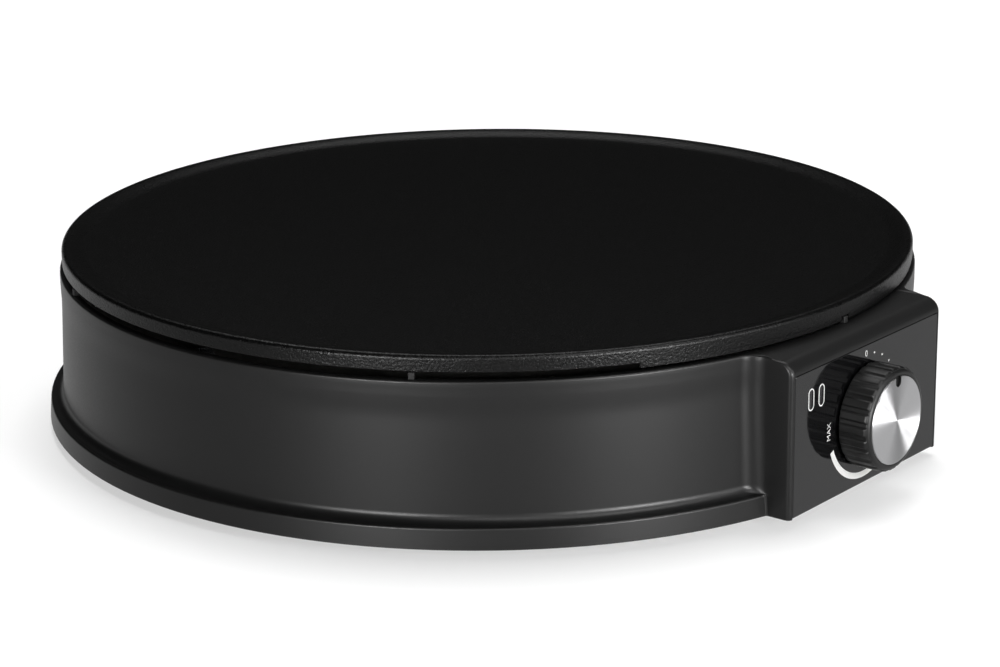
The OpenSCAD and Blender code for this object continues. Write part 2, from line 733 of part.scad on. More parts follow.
module thermostat_body() {
    color([0.25, 0.18, 0.13]) difference() {
        union() {
            translate([dial_x - stat_w / 2, -stat_front, dial_z - stat_h / 2 + 3])
                cube([stat_w, stat_l, stat_h - 6]);
            at_panel(dial_x, stat_front - stat_lug_l, dial_z) for (s = [-1, 1])
                translate([0, s * stat_screw_pitch / 2, 0]) cylinder(r = stat_lug_r, h = stat_lug_l);
            for (s = [-1, 1])
                translate([dial_x + s * stat_tab_x - stat_tab[0] / 2, -stat_back - eps, stat_tab_foot])
                    cube(stat_tab);
        }
        at_panel(dial_x, stat_front - bearing_l, dial_z) {
            cylinder(r = shaft_r + running, h = bearing_l + over);
            cylinder(r = collar_r + shaft_room / 2, h = 2 * collar_l);
        }
        for (s = [-1, 1]) at_panel(dial_x, stat_front - stat_lug_l + 2, dial_z + s * stat_screw_pitch / 2)
            cylinder(r = m3[0] + thread, h = stat_lug_l - 2 + over);
    }
}

module thermostat_bracket() {
    color([0.7, 0.7, 0.72]) difference() {
        translate([dial_x - bracket_w / 2, -stat_front - bracket_t, dial_z - bracket_h / 2 - 1])
            cube([bracket_w, bracket_t, bracket_h + 2]);
        at_panel(dial_x, stat_front - over, dial_z)
            cylinder(r = shaft_r + shaft_room / 2, h = bracket_t + 2 * over);
        for (s = [-1, 1]) at_panel(dial_x, stat_front - over, dial_z + s * stat_screw_pitch / 2)
            cylinder(r = m3[0] + free_hole, h = bracket_t + 2 * over);
        // corner cut clear of the lamps
        translate([dial_x - bracket_w / 2 - over, -stat_front - bracket_t - over, lamp_z - lens_l / 2 - 2])
            cube([over + 4, bracket_t + 2 * over, bracket_h]);
    }
}

module thermostat_screws() {
    color([0.6, 0.6, 0.62]) for (s = [-1, 1])
        at_panel(dial_x, box_inside + wall - m3[2] - fit, dial_z + s * stat_screw_pitch / 2)
            screw(m3, wall - m3[2] - fit + bracket_t + grip);
}

module shaft_flat(l, off) {
    translate([-shaft_r - 1, off, 0]) cube([2 * shaft_r + 2, shaft_r + 1, l]);
}

// The shaft's ends and the flat that the knob drives it by
shaft_back = stat_front - bearing_l + 1;
shaft_front = face_y + knob_h - 3.5;
flat_l = 7.5;
spring_w = 3;
flat_off = shaft_r - 1.5;

module thermostat_shaft() {
    shaft_l = shaft_front - shaft_back;
    color([0.7, 0.7, 0.7]) at_panel(dial_x, shaft_back, dial_z) difference() {
        union() {
            cylinder(r = shaft_r, h = shaft_l);
            translate([0, 0, collar_l / 4]) cylinder(r = collar_r, h = collar_l);
        }
        translate([0, 0, shaft_l - flat_l]) shaft_flat(flat_l + over, flat_off);
    }
}

knob_back = face_y + knob_gap;
knob_front = face_y + knob_h - 0.4;
hub_r = shaft_r + 2.8;
cap_t = 1;
cap_seat = face_y + knob_h - cap_t;
notch_w = 3.2;
notch_l = 3.4;
skin_t = 2;
front_t = 3;
back_edge = 0.5;
front_bevel = 0.9;

module knob_ribs() {
    pitch = 360 / rib_count;
    polygon([
        for (i = [0:rib_count - 1], k = [0:3]) let (
            a = pitch * (i + [0, 0.42, 0.58, 0.84][k]),
            r = knob_d / 2 - [0, 0, rib_depth, rib_depth][k]
        ) r * [cos(a), sin(a)]
    ]);
}

module knob_body() {
    h = knob_front - knob_back;
    color([0.06, 0.06, 0.06]) at_panel(dial_x, knob_back, dial_z) difference() {
        union() {
            difference() {
                intersection() {
                    linear_extrude(h) knob_ribs();
                    // rounded back edge and bevelled front edge
                    rotate_extrude() polygon([
                        [0, -over], [knob_d / 2 - back_edge, -over], [knob_d / 2 + eps, back_edge],
                        [knob_d / 2 + eps, h - 1.6], [knob_d / 2 - front_bevel, h - 0.4],
                        [cap_d / 2 + fit + 0.5, h], [0, h]
                    ]);
                }
                translate([0, 0, -over]) cylinder(r = knob_d / 2 - rib_depth - skin_t, h = h - front_t + over);
            }
            cylinder(r = hub_r, h = h - front_t + 1);
        }
        translate([0, 0, -over]) difference() {
            cylinder(r = shaft_r + running, h = shaft_front - knob_back + 0.3 + over);
            translate([0, 0, shaft_front - knob_back - flat_l + 0.3 + over])
                shaft_flat(flat_l + 1, flat_off + 0.9);
        }
        // seat of the metal disc
        translate([0, 0, cap_seat - knob_back]) cylinder(d = cap_d + 2 * fit, h = cap_t + over);
    }
}

module knob_cap() {
    color([0.82, 0.82, 0.83]) at_panel(dial_x, cap_seat, dial_z) difference() {
        cylinder(d = cap_d, h = cap_t);
        // notch that points at the scale
        translate([0, cap_d / 2, -over]) pill(notch_w, 2 * notch_l, cap_t + 2 * over);
    }
}

module knob_spring() {
    color([0.7, 0.7, 0.72]) at_panel(dial_x, shaft_front - flat_l + 0.5, dial_z)
        translate([-spring_w / 2, flat_off + 0.25, 0]) cube([spring_w, 0.4, flat_l - 1]);
}

module lens(s) {
    at_panel(-lamp_x + s * lamp_pitch / 2, box_inside, lamp_z) {
        translate([0, 0, -lens_flange]) {
            pill(lens_w, lens_l, lens_flange + wall + panel_t + lens_proud);
            pill(lens_w + 2 * lens_rim, lens_l + 2 * lens_rim, lens_flange);
        }
    }
}

module power_lens() {
    color([0.35, 0.3, 0.3]) lens(-1);
}

module ready_lens() {
    color([0.3, 0.35, 0.3]) lens(1);
}

module neon_lamps() {
    color([0.9, 0.6, 0.4]) for (s = [-1, 1])
        at_panel(-lamp_x + s * lamp_pitch / 2, neon_front - neon_l, lamp_z) {
            cylinder(r = neon_r, h = neon_l - neon_r);
            translate([0, 0, neon_l - neon_r]) sphere(r = neon_r);
        }
}

module lamp_holder() {
    h = lens_l / 2 + lamp_stud_drop + 4;
    color([0.85, 0.85, 0.8]) difference() {
        union() {
            translate([-lamp_x - lamp_pitch / 2 - 4, -holder_back - holder_l, lamp_z - 4])
                cube([lamp_pitch + 8, holder_l, 8]);
            translate([-lamp_x - 4, -holder_back - holder_l, lamp_z - h]) cube([8, holder_t, h]);
        }
        for (s = [-1, 1]) at_panel(-lamp_x + s * lamp_pitch / 2, neon_front - neon_l, lamp_z)
            cylinder(r = neon_r + fit, h = neon_l + over);
        for (s = [-1, 1]) at_panel(-lamp_x + s * lamp_pitch / 2, holder_back - over, lamp_z)
            cylinder(r = 1, h = holder_l);
        lamp_boss() at_panel(0, holder_back + holder_l - holder_t - over, 0)
            cylinder(r = m3[0] + free_hole, h = holder_t + 2 * over);
    }
}

module lamp_holder_screw() {
    color([0.6, 0.6, 0.62]) lamp_boss() at_panel(0, holder_back + holder_l - holder_t, 0)
        mirror([0, 0, 1]) screw(m3, holder_t + grip - 1);
}

module cable_gland() {
    tube_r = gland_r + gland_wall;
    color([0.07, 0.07, 0.07]) translate([0, 0, gland_z]) rotate([-90, 0, 0]) rotate_extrude() polygon([
        [gland_r, gland_back], [tube_r + 0.9, gland_back],
        [tube_r + 1.8, gland_back + gland_barb - fit], [tube_r, gland_back + gland_barb - fit],
        [tube_r, gland_pad_y], [tube_r + 2.5, gland_pad_y],
        [tube_r + 1.7, gland_pad_y + gland_lip], [gland_r, gland_pad_y + gland_lip]
    ]);
}

module cord_clamp() {
    color([0.12, 0.12, 0.12]) translate([0, clamp_y, clamp_foot]) difference() {
        union() {
            translate([-clamp_half, -4, 0]) cube([2 * clamp_half, 8, clamp_t]);
            for (s = [-1, 1]) translate([s * clamp_half, 0, 0]) cylinder(r = 4, h = clamp_t);
        }
        for (s = [-1, 1]) translate([s * clamp_half, 0, -over])
            cylinder(r = m3[0] + free_hole, h = clamp_t + 2 * over);
        translate([0, 0, -gland_r + 1.5]) rotate([90, 0, 0])
            cylinder(r = gland_r, h = 8 + 2 * over, center = true);
    }
}

module clamp_screws() {
    color([0.6, 0.6, 0.62]) for (s = [-1, 1]) translate([s * clamp_half, clamp_y, clamp_foot + clamp_t])
        screw(m3, clamp_t + grip + 1);
}

module terminal_block() {
    color([0.9, 0.88, 0.82]) difference() {
        translate([-block_w / 2, block_y - block_d / 2, block_foot]) cube([block_w, block_d, block_t]);
        for (s = [-1:1]) translate([s * block_pitch, block_y, block_z]) {
            rotate([90, 0, 0]) cylinder(r = barrel_r + fit, h = block_d + 2 * over, center = true);
            for (e = [-1, 1]) translate([0, e * 4.5, 0]) cylinder(r = 1.5, h = block_t);
        }
        for (s = [-1, 1]) translate([s * block_pitch / 2, block_y, block_foot - over])
            cylinder(r = m3[0] + free_hole, h = block_t + 2 * over);
    }
}

module terminal_barrels() {
    color([0.8, 0.68, 0.35]) for (s = [-1:1]) translate([s * block_pitch, block_y, block_z])
        rotate([90, 0, 0]) difference() {
            cylinder(r = barrel_r, h = block_d - 2, center = true);
            cylinder(r = barrel_bore_r, h = block_d, center = true);
        }
}

module block_screws() {
    color([0.6, 0.6, 0.62]) for (s = [-1, 1])
        translate([s * block_pitch / 2, block_y, block_foot + block_t]) screw(m3, block_t + grip - 1.5);
}

module earth_tag() {
    color([0.8, 0.68, 0.35]) {
        translate([0, earth_y, pan_floor_foot - tag_t]) difference() {
            union() {
                cylinder(r = 4.5, h = tag_t);
                translate([-2, 0, 0]) cube([4, 12, tag_t]);
            }
            translate([0, 0, -over]) cylinder(r = m4[0] + free_hole, h = tag_t + 2 * over);
        }
        translate([0, tag_barrel_y, tag_barrel_z]) rotate([90, 0, 0])
            cylinder(r = tag_barrel_r, h = 6);
    }
}

module earth_screw() {
    color([0.6, 0.6, 0.62]) translate([0, earth_y, pan_floor_foot - tag_t]) mirror([0, 0, 1]) screw(m4, 4);
}

// Where the leads end
pin_x = element_r * sin(element_gap_angle) - element_bend_r * cos(element_gap_angle);
pin_y = -element_r * cos(element_gap_angle) - element_bend_r * sin(element_gap_angle);
pin_z = leg_foot - pin_l;
// how far under a pin its lead turns, halfway down to the cover
pin_drop = (pin_z - cover_top) / 2;
barrel_y = block_y - block_d / 2 + 5;
tab_y = -stat_back + stat_tab[1] - eps;
tab_z = stat_tab_foot + stat_tab[2] / 2;
// the straight start of a lead that leaves the terminal block
function from_block(x) = [for (d = [0, 5, 9]) [x, barrel_y - d, block_z]];

module live_lead() {
    color([0.45, 0.25, 0.12]) lead(concat(from_block(-block_pitch), [
        [lead_hole[0] + 4, lead_hole[1] + 8, pan_floor_foot - 12],
        [lead_hole[0], lead_hole[1], pan_floor_foot], [lead_hole[0], lead_hole[1] - 4, pan_floor_top + 8],
        [-fuse_l / 2 - 12, fuse_y, fuse_z - 3], [-fuse_l / 2 - 5, fuse_y, fuse_z],
        [-fuse_l / 2, fuse_y, fuse_z]
    ]), lead_r);
}

module fuse_lead() {
    color([0.45, 0.25, 0.12]) lead([
        [fuse_l / 2, fuse_y, fuse_z], [fuse_l / 2 + 5, fuse_y, fuse_z],
        [fuse_l / 2 + 12, fuse_y, fuse_z - 3], [-lead_hole[0], lead_hole[1] - 4, pan_floor_top + 8],
        [-lead_hole[0], lead_hole[1], pan_floor_foot],
        [6 - lead_hole[0], lead_hole[1] - 14, pan_floor_foot - 12], [44, 10, cover_top + 7],
        [38, -60, cover_top + 5], [30, -96, cover_top + 7], [17, tab_y + 14, tab_z - 4],
        [dial_x + stat_tab_x, tab_y + 8, tab_z], [dial_x + stat_tab_x, tab_y, tab_z]
    ], lead_r);
}

module element_lead() {
    color([0.1, 0.1, 0.1]) lead([
        [dial_x - stat_tab_x, tab_y, tab_z], [dial_x - stat_tab_x, tab_y + 7, tab_z],
        [-pin_x + 4, pin_y - 9, pin_z - pin_drop], [-pin_x, pin_y, pin_z - pin_drop],
        [-pin_x, pin_y, pin_z]
    ], lead_r);
}

module neutral_lead() {
    color([0.2, 0.35, 0.6]) lead(concat(from_block(block_pitch), [
        [16, 60, cover_top + 7], [20, 0, cover_top + 5], [24, -70, cover_top + 4],
        [pin_x, pin_y, pin_z - pin_drop], [pin_x, pin_y, pin_z]
    ]), lead_r);
}

module earth_lead() {
    color([0.5, 0.6, 0.2]) lead(concat(from_block(0), [
        [0, tag_barrel_y + 10, (block_z + tag_barrel_z) / 2], [0, tag_barrel_y + 4, tag_barrel_z],
        [0, tag_barrel_y, tag_barrel_z]
    ]), lead_r);
}

module lamp_leads() {
    for (s = [-1, 1]) color([0.8, 0.8, 0.8]) {
        x = -lamp_x + s * lamp_pitch / 2;
        lead([
            [x, -neon_front + neon_l, lamp_z], [x, -neon_front + neon_l + 6, lamp_z],
            [x + 3, -128 + s * 3, 34 + s * 2], [-24 + s, -112 + s * 3, 22 + s * 3],
            [-18 + s * 3, -104 + s * 2, 24 + s * 3]
        ], thin_lead_r);
    }
}

housing_shell();
control_panel();
base_cover();
rubber_feet();
base_screws();
griddle_plate();
rim_spacers();
reflector_pan();
reflector_screws();
plate_posts();
post_screws();
heating_element();
element_insulators();
element_clips();
clip_screws();
sensor_bulb();
bulb_clips();
capillary_tube();
thermal_fuse();
fuse_clip();
thermostat_body();
thermostat_bracket();
thermostat_screws();
thermostat_shaft();
knob_body();
knob_cap();
knob_spring();
power_lens();
ready_lens();
neon_lamps();
lamp_holder();
lamp_holder_screw();
cable_gland();
cord_clamp();
clamp_screws();
terminal_block();
terminal_barrels();
block_screws();
earth_tag();
earth_screw();
live_lead();
fuse_lead();
element_lead();
neutral_lead();
earth_lead();
lamp_leads();
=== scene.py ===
"""Looks of the electric crepe maker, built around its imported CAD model.

Sizes are in millimetres where a name doesn't say otherwise, in the part's own frame: the object stands on z = 0,
the plate's axis is the Z axis, and the control panel faces -Y.
"""

import math

import bmesh
import bpy
from mathutils import Matrix, Vector


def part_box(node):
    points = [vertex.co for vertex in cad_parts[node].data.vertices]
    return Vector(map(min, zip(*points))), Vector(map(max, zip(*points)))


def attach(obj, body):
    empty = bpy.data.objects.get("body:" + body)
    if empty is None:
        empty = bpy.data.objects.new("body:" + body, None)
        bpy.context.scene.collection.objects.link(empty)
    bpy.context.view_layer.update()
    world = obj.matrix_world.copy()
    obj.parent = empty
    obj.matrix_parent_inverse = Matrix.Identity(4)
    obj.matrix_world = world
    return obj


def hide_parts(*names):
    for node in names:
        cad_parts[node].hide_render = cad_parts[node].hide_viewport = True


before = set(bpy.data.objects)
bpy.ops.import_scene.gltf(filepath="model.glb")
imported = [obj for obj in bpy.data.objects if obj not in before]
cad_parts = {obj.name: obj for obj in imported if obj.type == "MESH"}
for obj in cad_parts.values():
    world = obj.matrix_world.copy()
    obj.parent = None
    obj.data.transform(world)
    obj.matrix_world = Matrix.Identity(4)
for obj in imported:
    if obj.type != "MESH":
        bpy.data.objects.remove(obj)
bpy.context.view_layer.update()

MM = 0.001
TAU = 2 * math.pi


def box_mm(node):
    """Lowest and highest corner of a CAD node, in millimetres."""
    lo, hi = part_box(node)
    return lo / MM, hi / MM


def middle(lo, hi):
    """A box's middle as the panel shows it, in X and Z."""
    return (lo.x + hi.x) / 2, (lo.z + hi.z) / 2


# Sizes read from the frame
shell_lo, shell_hi = box_mm("housing_shell")
plate_hi = box_mm("griddle_plate")[1]
panel_lo, panel_hi = box_mm("control_panel")
knob_lo, knob_hi = box_mm("knob_body")
cap_lo, cap_hi = box_mm("knob_cap")
gland_lo, gland_hi = box_mm("cable_gland")
lens_boxes = {name: box_mm(name) for name in ("power_lens", "ready_lens")}

FIT = 0.15             # a flat piece in its recess
FOOT_H = shell_lo.z
SHELL_TOP = shell_hi.z
FLANGE_R = shell_hi.x
FACE_Y = -shell_lo.y
PLATE_R = plate_hi.x
CREST_Z = plate_hi.z
PANEL_HALF = panel_hi.x + FIT
PANEL_TOP = panel_hi.z + FIT
DIAL_X, DIAL_Z = middle(knob_lo, knob_hi)
KNOB_BACK = -knob_hi.y
KNOB_H = -knob_lo.y - KNOB_BACK
CAP_BACK = -cap_hi.y
CAP_T = -cap_lo.y - CAP_BACK
CAP_R = (cap_hi.x - cap_lo.x) / 2
LENS_MIDDLES = [middle(*box) for box in lens_boxes.values()]
GLAND_Z = (gland_lo.z + gland_hi.z) / 2

# Housing
WALL = 2.5
BOX_HALF = 45.2
BOX_CORNER_R = 1.6
BLEND_R = 7.0
RIM_R = PLATE_R + 0.5
WALL_FOOT_R = RIM_R + 1.4
BEAD_OUT = 0.45
BEAD_FOOT = SHELL_TOP - 3.5
BEAD_SWELL = 9.0
EDGE_R = 0.8
FLANGE_TOP = FOOT_H + 7.3
FLANGE_TAPER = 0.5
FLANGE_CHAMFER = 0.3
FLANGE_BLEND = 0.8     # hollow corner between flange and box at the foot
BLEND_STEP = 0.4       # what that corner gains with each level of the flange's rounded edge
COVE_R = 3.2
BROW_DEPTH = 5.6
BROW_FALL = 0.7
RIM_ROUND = 0.9
RIM_CHAMFER = 0.4
INNER_R = RIM_R - WALL
INNER_FOOT_R = WALL_FOOT_R - WALL
INNER_BLEND_R = BLEND_R + WALL
FLANGE_INNER_BLEND = 3.5
INNER_CORNER_R = 0.8
COVER_TOP = FOOT_H + 2.0
SHELF_TOP = BEAD_FOOT
PAN_TOP = SHELF_TOP + 0.8
PILLAR_R = 5.25
PILLAR_BORE_R = 1.85
PILLAR_BORE_TOP = 17
PILLAR_COUNT = 6
PILLAR_START = -60.0
PILLAR_CIRCLE_R = INNER_R - 0.3 - 3.6
GLAND_HOLE_R = 6.15
GLAND_SEAT_R = 10
GLAND_SEAT_END = 153.3
STUD_R = 3.5
STUD_PIN_R = 1.6
STUD_END = 150.4
STUD_PIN_END = 151
STUD_DROP = 7          # from the foot of the lamp windows to the stud of the lamp holder

# Plate, and what lies round it
PLATE_FOOT = SHELL_TOP + 2.7
FACE_Z = PLATE_FOOT + 3.2
BORDER_W = 9.5
CREST_EDGE = 1.5
FOOT_EDGE = 0.15
SPACER_CIRCLE_R = RIM_R - 1.3
FOOT_CIRCLE_R = 126.0

# Panel, with its lamp windows and printed scale
PANEL_T = 1.2
PANEL_CORNER_R = 0.6
PANEL_EDGE = 0.3
LENS_BODY = (2.3, 6.6)
LENS_HOLE = (2.6, 6.9)
LENS_FLANGE = (4.3, 8.6)
LENS_FLANGE_T = 1.0
INK_T = 0.03
INK_SINK = 0.01
INK_BACK = -FACE_Y + INK_SINK
INK_FRONT = -FACE_Y - INK_T
OUTLINE_OUTER = (3.35, 7.5)
OUTLINE_INNER = (2.55, 6.7)
OUTLINE_STEPS = 12
BAND_FROM, BAND_TO = 100, 247.5
BAND_R0, BAND_R1 = 20.05, 22.1
BAND_STEPS = 72
DOT_COUNT = 6
DOT_FIRST, DOT_STEP = 14, 15.2
DOT_CIRCLE_R = 20.15
DOT_R = 0.36

# Knob and its disc
KNOB_R = 17.5
RIB_DEPTH = 0.6
RIB_COUNT = 24
RIB_HALF = 1.78
NOTCH_W = 3.2
NOTCH_L = 3.4
SHAFT_R = 3.0
SHAFT_HOLE_R = SHAFT_R + 1

# The photograph's camera, from its fit to the rims of the plate and the housing
CAMERA_DISTANCE = 1050.0
CAMERA_ELEVATION = 18.60
CAMERA_TURN = 50.8
CAMERA_PITCH = 17.49
CAMERA_YAW = 0.24
CAMERA_ROLL = -0.61
CAMERA_LENS = 104.08
SENSOR_W = 36.0

# Up to these angles, in degrees, neighbouring faces are shaded as one curve
SMOOTH = 32.0
CAD_SMOOTH = 35.0
KNOB_SMOOTH = 38.0
INK_SMOOTH = 10.0


# -------- mesh tools

MERGE = 0.0005         # points nearer than this are one
CAD_MERGE_M = 1e-7
LETTER_MERGE = 1e-5
ON_AXIS = 1e-6
OVER = 1               # how far a cut runs past the face it opens
QUARTER = math.radians(90)


def new_object(name, data):
    obj = bpy.data.objects.new(name, data)
    bpy.context.scene.collection.objects.link(obj)
    return obj


def mesh_of(name, bm):
    """Turns a finished drawing into a mesh."""
    mesh = bpy.data.meshes.new(name)
    bm.to_mesh(mesh)
    bm.free()
    return mesh


def put(name, bm, smooth=SMOOTH, flip_check=True):
    """Makes an object of what was drawn in millimetres, with smooth faces up to the angle given."""
    bmesh.ops.remove_doubles(bm, verts=bm.verts, dist=MERGE)
    bmesh.ops.dissolve_degenerate(bm, edges=bm.edges, dist=MERGE)
    if flip_check:
        bmesh.ops.recalc_face_normals(bm, faces=bm.faces)
    bmesh.ops.scale(bm, vec=(MM, MM, MM), verts=bm.verts)
    mesh = mesh_of(name, bm)
    smooth_to(mesh, smooth)
    return new_object(name, mesh)


def smooth_to(mesh, angle):
    mesh.shade_smooth()
    mesh.set_sharp_from_angle(angle=math.radians(angle))


def settle(obj):
    """Puts the result of an object's modifiers into its mesh and removes them."""
    graph = bpy.context.evaluated_depsgraph_get()
    made = bpy.data.meshes.new_from_object(obj.evaluated_get(graph), preserve_all_data_layers=True, depsgraph=graph)
    obj.modifiers.clear()
    old, obj.data = obj.data, made
    bpy.data.meshes.remove(old)
    return obj


def weigh_normals(obj):
    """Large flat faces keep their own normal, and the small round edges beside them take the bend."""
    weigh = obj.modifiers.new("weighted normals", "WEIGHTED_NORMAL")
    weigh.keep_sharp = True
    return settle(obj)


def smoothed(obj, angle=SMOOTH):
    smooth_to(obj.data, angle)
    return weigh_normals(obj)


def round_edges(obj, width):
    bevel = obj.modifiers.new("rounded edges", "BEVEL")
    bevel.width = width * MM
    bevel.segments = 3
    bevel.limit_method = "ANGLE"
    bevel.angle_limit = math.radians(40.0)
    bevel.miter_outer = "MITER_ARC"
    return smoothed(settle(obj))


def carve(obj, *cutters):
    for cutter in cutters:
        cut = obj.modifiers.new("cut", "BOOLEAN")
        cut.object = cutter
        cut.operation = "DIFFERENCE"
        cut.solver = "EXACT"
    settle(obj)
    for cutter in cutters:
        bpy.data.objects.remove(cutter)
    return obj


def bridge(bm, ring_a, ring_b):
    """Faces between two closed rings; a ring of one vertex is a pole."""
    n = max(len(ring_a), len(ring_b))
    if len(ring_a) == len(ring_b) == 1:
        return
    for i in range(n):
        j = (i + 1) % n
        a, a2 = ring_a[i % len(ring_a)], ring_a[j % len(ring_a)]
        b, b2 = ring_b[i % len(ring_b)], ring_b[j % len(ring_b)]
        corners = [v for k, v in enumerate((a, a2, b2, b)) if v not in (a, a2, b2, b)[:k]]
        if len(corners) > 2:
            bm.faces.new(corners)


def skin(bm, rings, closed=False):
    """Skin over rings of points, in order; closed joins the last to the first."""
    made = [[bm.verts.new(p) for p in ring] for ring in rings]
    for a, b in zip(made, made[1:] + made[:1] if closed else made[1:]):
        bridge(bm, a, b)


def turned(bm, profile, steps, closed=False):
    """Turns a profile of radii and heights about the Z axis; a point on the axis is a pole."""
    rings = []
    for r, z in profile:
        ring = [(r * math.cos(TAU * k / steps), r * math.sin(TAU * k / steps), z) for k in range(steps)]
        rings.append([(0, 0, z)] if r < ON_AXIS else ring)
    skin(bm, rings, closed)


def arc(x, y, r, a0, a1, n):
    """Points of an arc from one angle to another, in degrees and n steps."""
    angles = [math.radians(a0 + (a1 - a0) * i / n) for i in range(n + 1)]
    return [(x + r * math.cos(a), y + r * math.sin(a)) for a in angles]


def pill_outline(w, length, n=10):
    r, h = w / 2, (length - w) / 2
    return arc(0, h, r, 0, 180, n) + arc(0, -h, r, 180, 360, n)


def solid(bm, rings):
    """A closed solid over rings, with flat faces over the first and last."""
    made = [[bm.verts.new(p) for p in ring] for ring in rings]
    for a, b in zip(made, made[1:]):
        bridge(bm, a, b)
    bm.faces.new(made[0][::-1])
    bm.faces.new(made[-1])


def level(outline, z):
    return [(x, y, z) for x, y in outline]


def facing_panel(x, depth, z):
    """Turns what was drawn along Z so that it points at -Y, with its foot at that depth."""
    return Matrix.Translation((x, -depth, z)) @ Matrix.Rotation(QUARTER, 4, "X")


def backwards(z):
    """Turns what was drawn along Z so that it points at +Y, at that height."""
    return Matrix.Translation((0, 0, z)) @ Matrix.Rotation(-QUARTER, 4, "X")


def moved(bm, matrix):
    bmesh.ops.transform(bm, matrix=matrix, verts=bm.verts)
    return bm


def add_to(bm, other):
    mesh = mesh_of("part", other)
    bm.from_mesh(mesh)
    bpy.data.meshes.remove(mesh)


def cylinder_cutter(r, z0, z1, matrix, steps=48):
    bm = bmesh.new()
    solid(bm, [level(arc(0, 0, r, 0, 360 - 360 / steps, steps - 1), z) for z in (z0, z1)])
    return put("cutter", moved(bm, matrix))


def pill_cutter(w, length, z0, z1, matrix):
    bm = bmesh.new()
    solid(bm, [level(pill_outline(w, length), z) for z in (z0, z1)])
    return put("cutter", moved(bm, matrix))


def lens_cutters(back, front):
    return [pill_cutter(*LENS_HOLE, back, front, facing_panel(x, 0, z)) for x, z in LENS_MIDDLES]


def join(name, *objs):
    """One object of several, with their places kept."""
    bm = bmesh.new()
    for o in objs:
        bm.from_mesh(o.data)
    mesh = mesh_of(name, bm)
    for o in objs:
        bpy.data.objects.remove(o)
    return new_object(name, mesh)


def cad_copy(name, node, below=None):
    """A copy of a CAD node's mesh with its loose triangles merged; below keeps what lies under that height."""
    bm = bmesh.new()
    bm.from_mesh(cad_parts[node].data)
    bmesh.ops.remove_doubles(bm, verts=bm.verts, dist=CAD_MERGE_M)
    if below is not None:
        cut = bmesh.ops.bisect_plane(
            bm, geom=bm.verts[:] + bm.edges[:] + bm.faces[:], plane_co=(0, 0, below * MM), plane_no=(0, 0, 1),
            clear_outer=True)
        edges = [e for e in cut["geom_cut"] if isinstance(e, bmesh.types.BMEdge)]
        bmesh.ops.holes_fill(bm, edges=edges)
    mesh = mesh_of(name, bm)
    smooth_to(mesh, CAD_SMOOTH)
    return new_object(name, mesh)


# -------- node tools

def add_node(tree, kind, inputs=None, **settings):
    """A node with its settings; each input is a constant or another node's output."""
    node = tree.nodes.new(kind)
    for name, value in settings.items():
        setattr(node, name, value)
    for name, value in (inputs or {}).items():
        if isinstance(value, bpy.types.NodeSocket):
            tree.links.new(value, node.inputs[name])
        else:
            node.inputs[name].default_value = value
    return node


def calc(tree, operation, *values):
    return add_node(tree, "ShaderNodeMath", dict(enumerate(values)), operation=operation).outputs[0]


def ring_tree():
    """Geometry Nodes tree: copies of a piece on a circle about the Z axis."""
    tree = bpy.data.node_groups.new("copies_on_a_ring", "GeometryNodeTree")
    face = tree.interface
    face.new_socket("Geometry", in_out="OUTPUT", socket_type="NodeSocketGeometry")
    inputs = {}
    for label, kind in (("Piece", "Object"), ("Count", "Int"), ("Radius", "Float"), ("Start", "Float"),
                        ("Finish", "Material")):
        inputs[label] = face.new_socket(label, in_out="INPUT", socket_type="NodeSocket" + kind).identifier
    given = add_node(tree, "NodeGroupInput").outputs
    index = add_node(tree, "GeometryNodeInputIndex").outputs[0]
    step = calc(tree, "DIVIDE", TAU, given["Count"])
    angle = calc(tree, "MULTIPLY_ADD", index, step, given["Start"])
    turn = add_node(tree, "ShaderNodeCombineXYZ", {"Z": angle}).outputs[0]
    out = add_node(tree, "ShaderNodeCombineXYZ", {"X": given["Radius"]}).outputs[0]
    place = add_node(tree, "ShaderNodeVectorRotate", {"Vector": out, "Rotation": turn},
                     rotation_type="EULER_XYZ").outputs[0]
    points = add_node(tree, "GeometryNodePoints", {"Count": given["Count"], "Position": place}).outputs[0]
    source = add_node(tree, "GeometryNodeObjectInfo", {"Object": given["Piece"], "As Instance": True})
    copies = add_node(tree, "GeometryNodeInstanceOnPoints", {
        "Points": points, "Instance": source.outputs["Geometry"], "Rotation": turn}).outputs[0]
    real = add_node(tree, "GeometryNodeRealizeInstances", {"Geometry": copies}).outputs[0]
    painted = add_node(tree, "GeometryNodeSetMaterial", {"Geometry": real, "Material": given["Finish"]}).outputs[0]
    add_node(tree, "NodeGroupOutput", {"Geometry": painted})
    return tree, inputs


RING_TREE, RING_INPUTS = ring_tree()


def ring_of(name, piece, count, radius, start, finish):
    """A plain mesh of copies of a piece, which is drawn at the origin and then dropped."""
    host = new_object(name, bpy.data.meshes.new(name))
    copies = host.modifiers.new("ring", "NODES")
    copies.node_group = RING_TREE
    values = {"Piece": piece, "Count": count, "Radius": radius * MM, "Start": math.radians(start), "Finish": finish}
    for label, value in values.items():
        copies[RING_INPUTS[label]] = value
    settle(host)
    bpy.data.objects.remove(piece)
    smooth_to(host.data, SMOOTH)
    return host


# -------- materials

def linear(hex_colour):
    """An sRGB hex colour as linear values for a shader."""
    parts = [int(hex_colour[i:i + 2], 16) / 255 for i in (1, 3, 5)]
    return tuple(c / 12.92 if c <= 0.04045 else ((c + 0.055) / 1.055) ** 2.4 for c in parts) + (1.0,)


def empty_material(name):
    material = bpy.data.materials.new(name)
    material.use_nodes = True
    material.node_tree.nodes.clear()
    return material, material.node_tree


def coordinates(tree):
    return add_node(tree, "ShaderNodeTexCoord").outputs["Object"]


def noise(tree, place, size, detail):
    """Noise with features of that size in millimetres."""
    return add_node(tree, "ShaderNodeTexNoise", {
        "Vector": place, "Scale": 1 / (size * MM), "Detail": detail}).outputs[0]


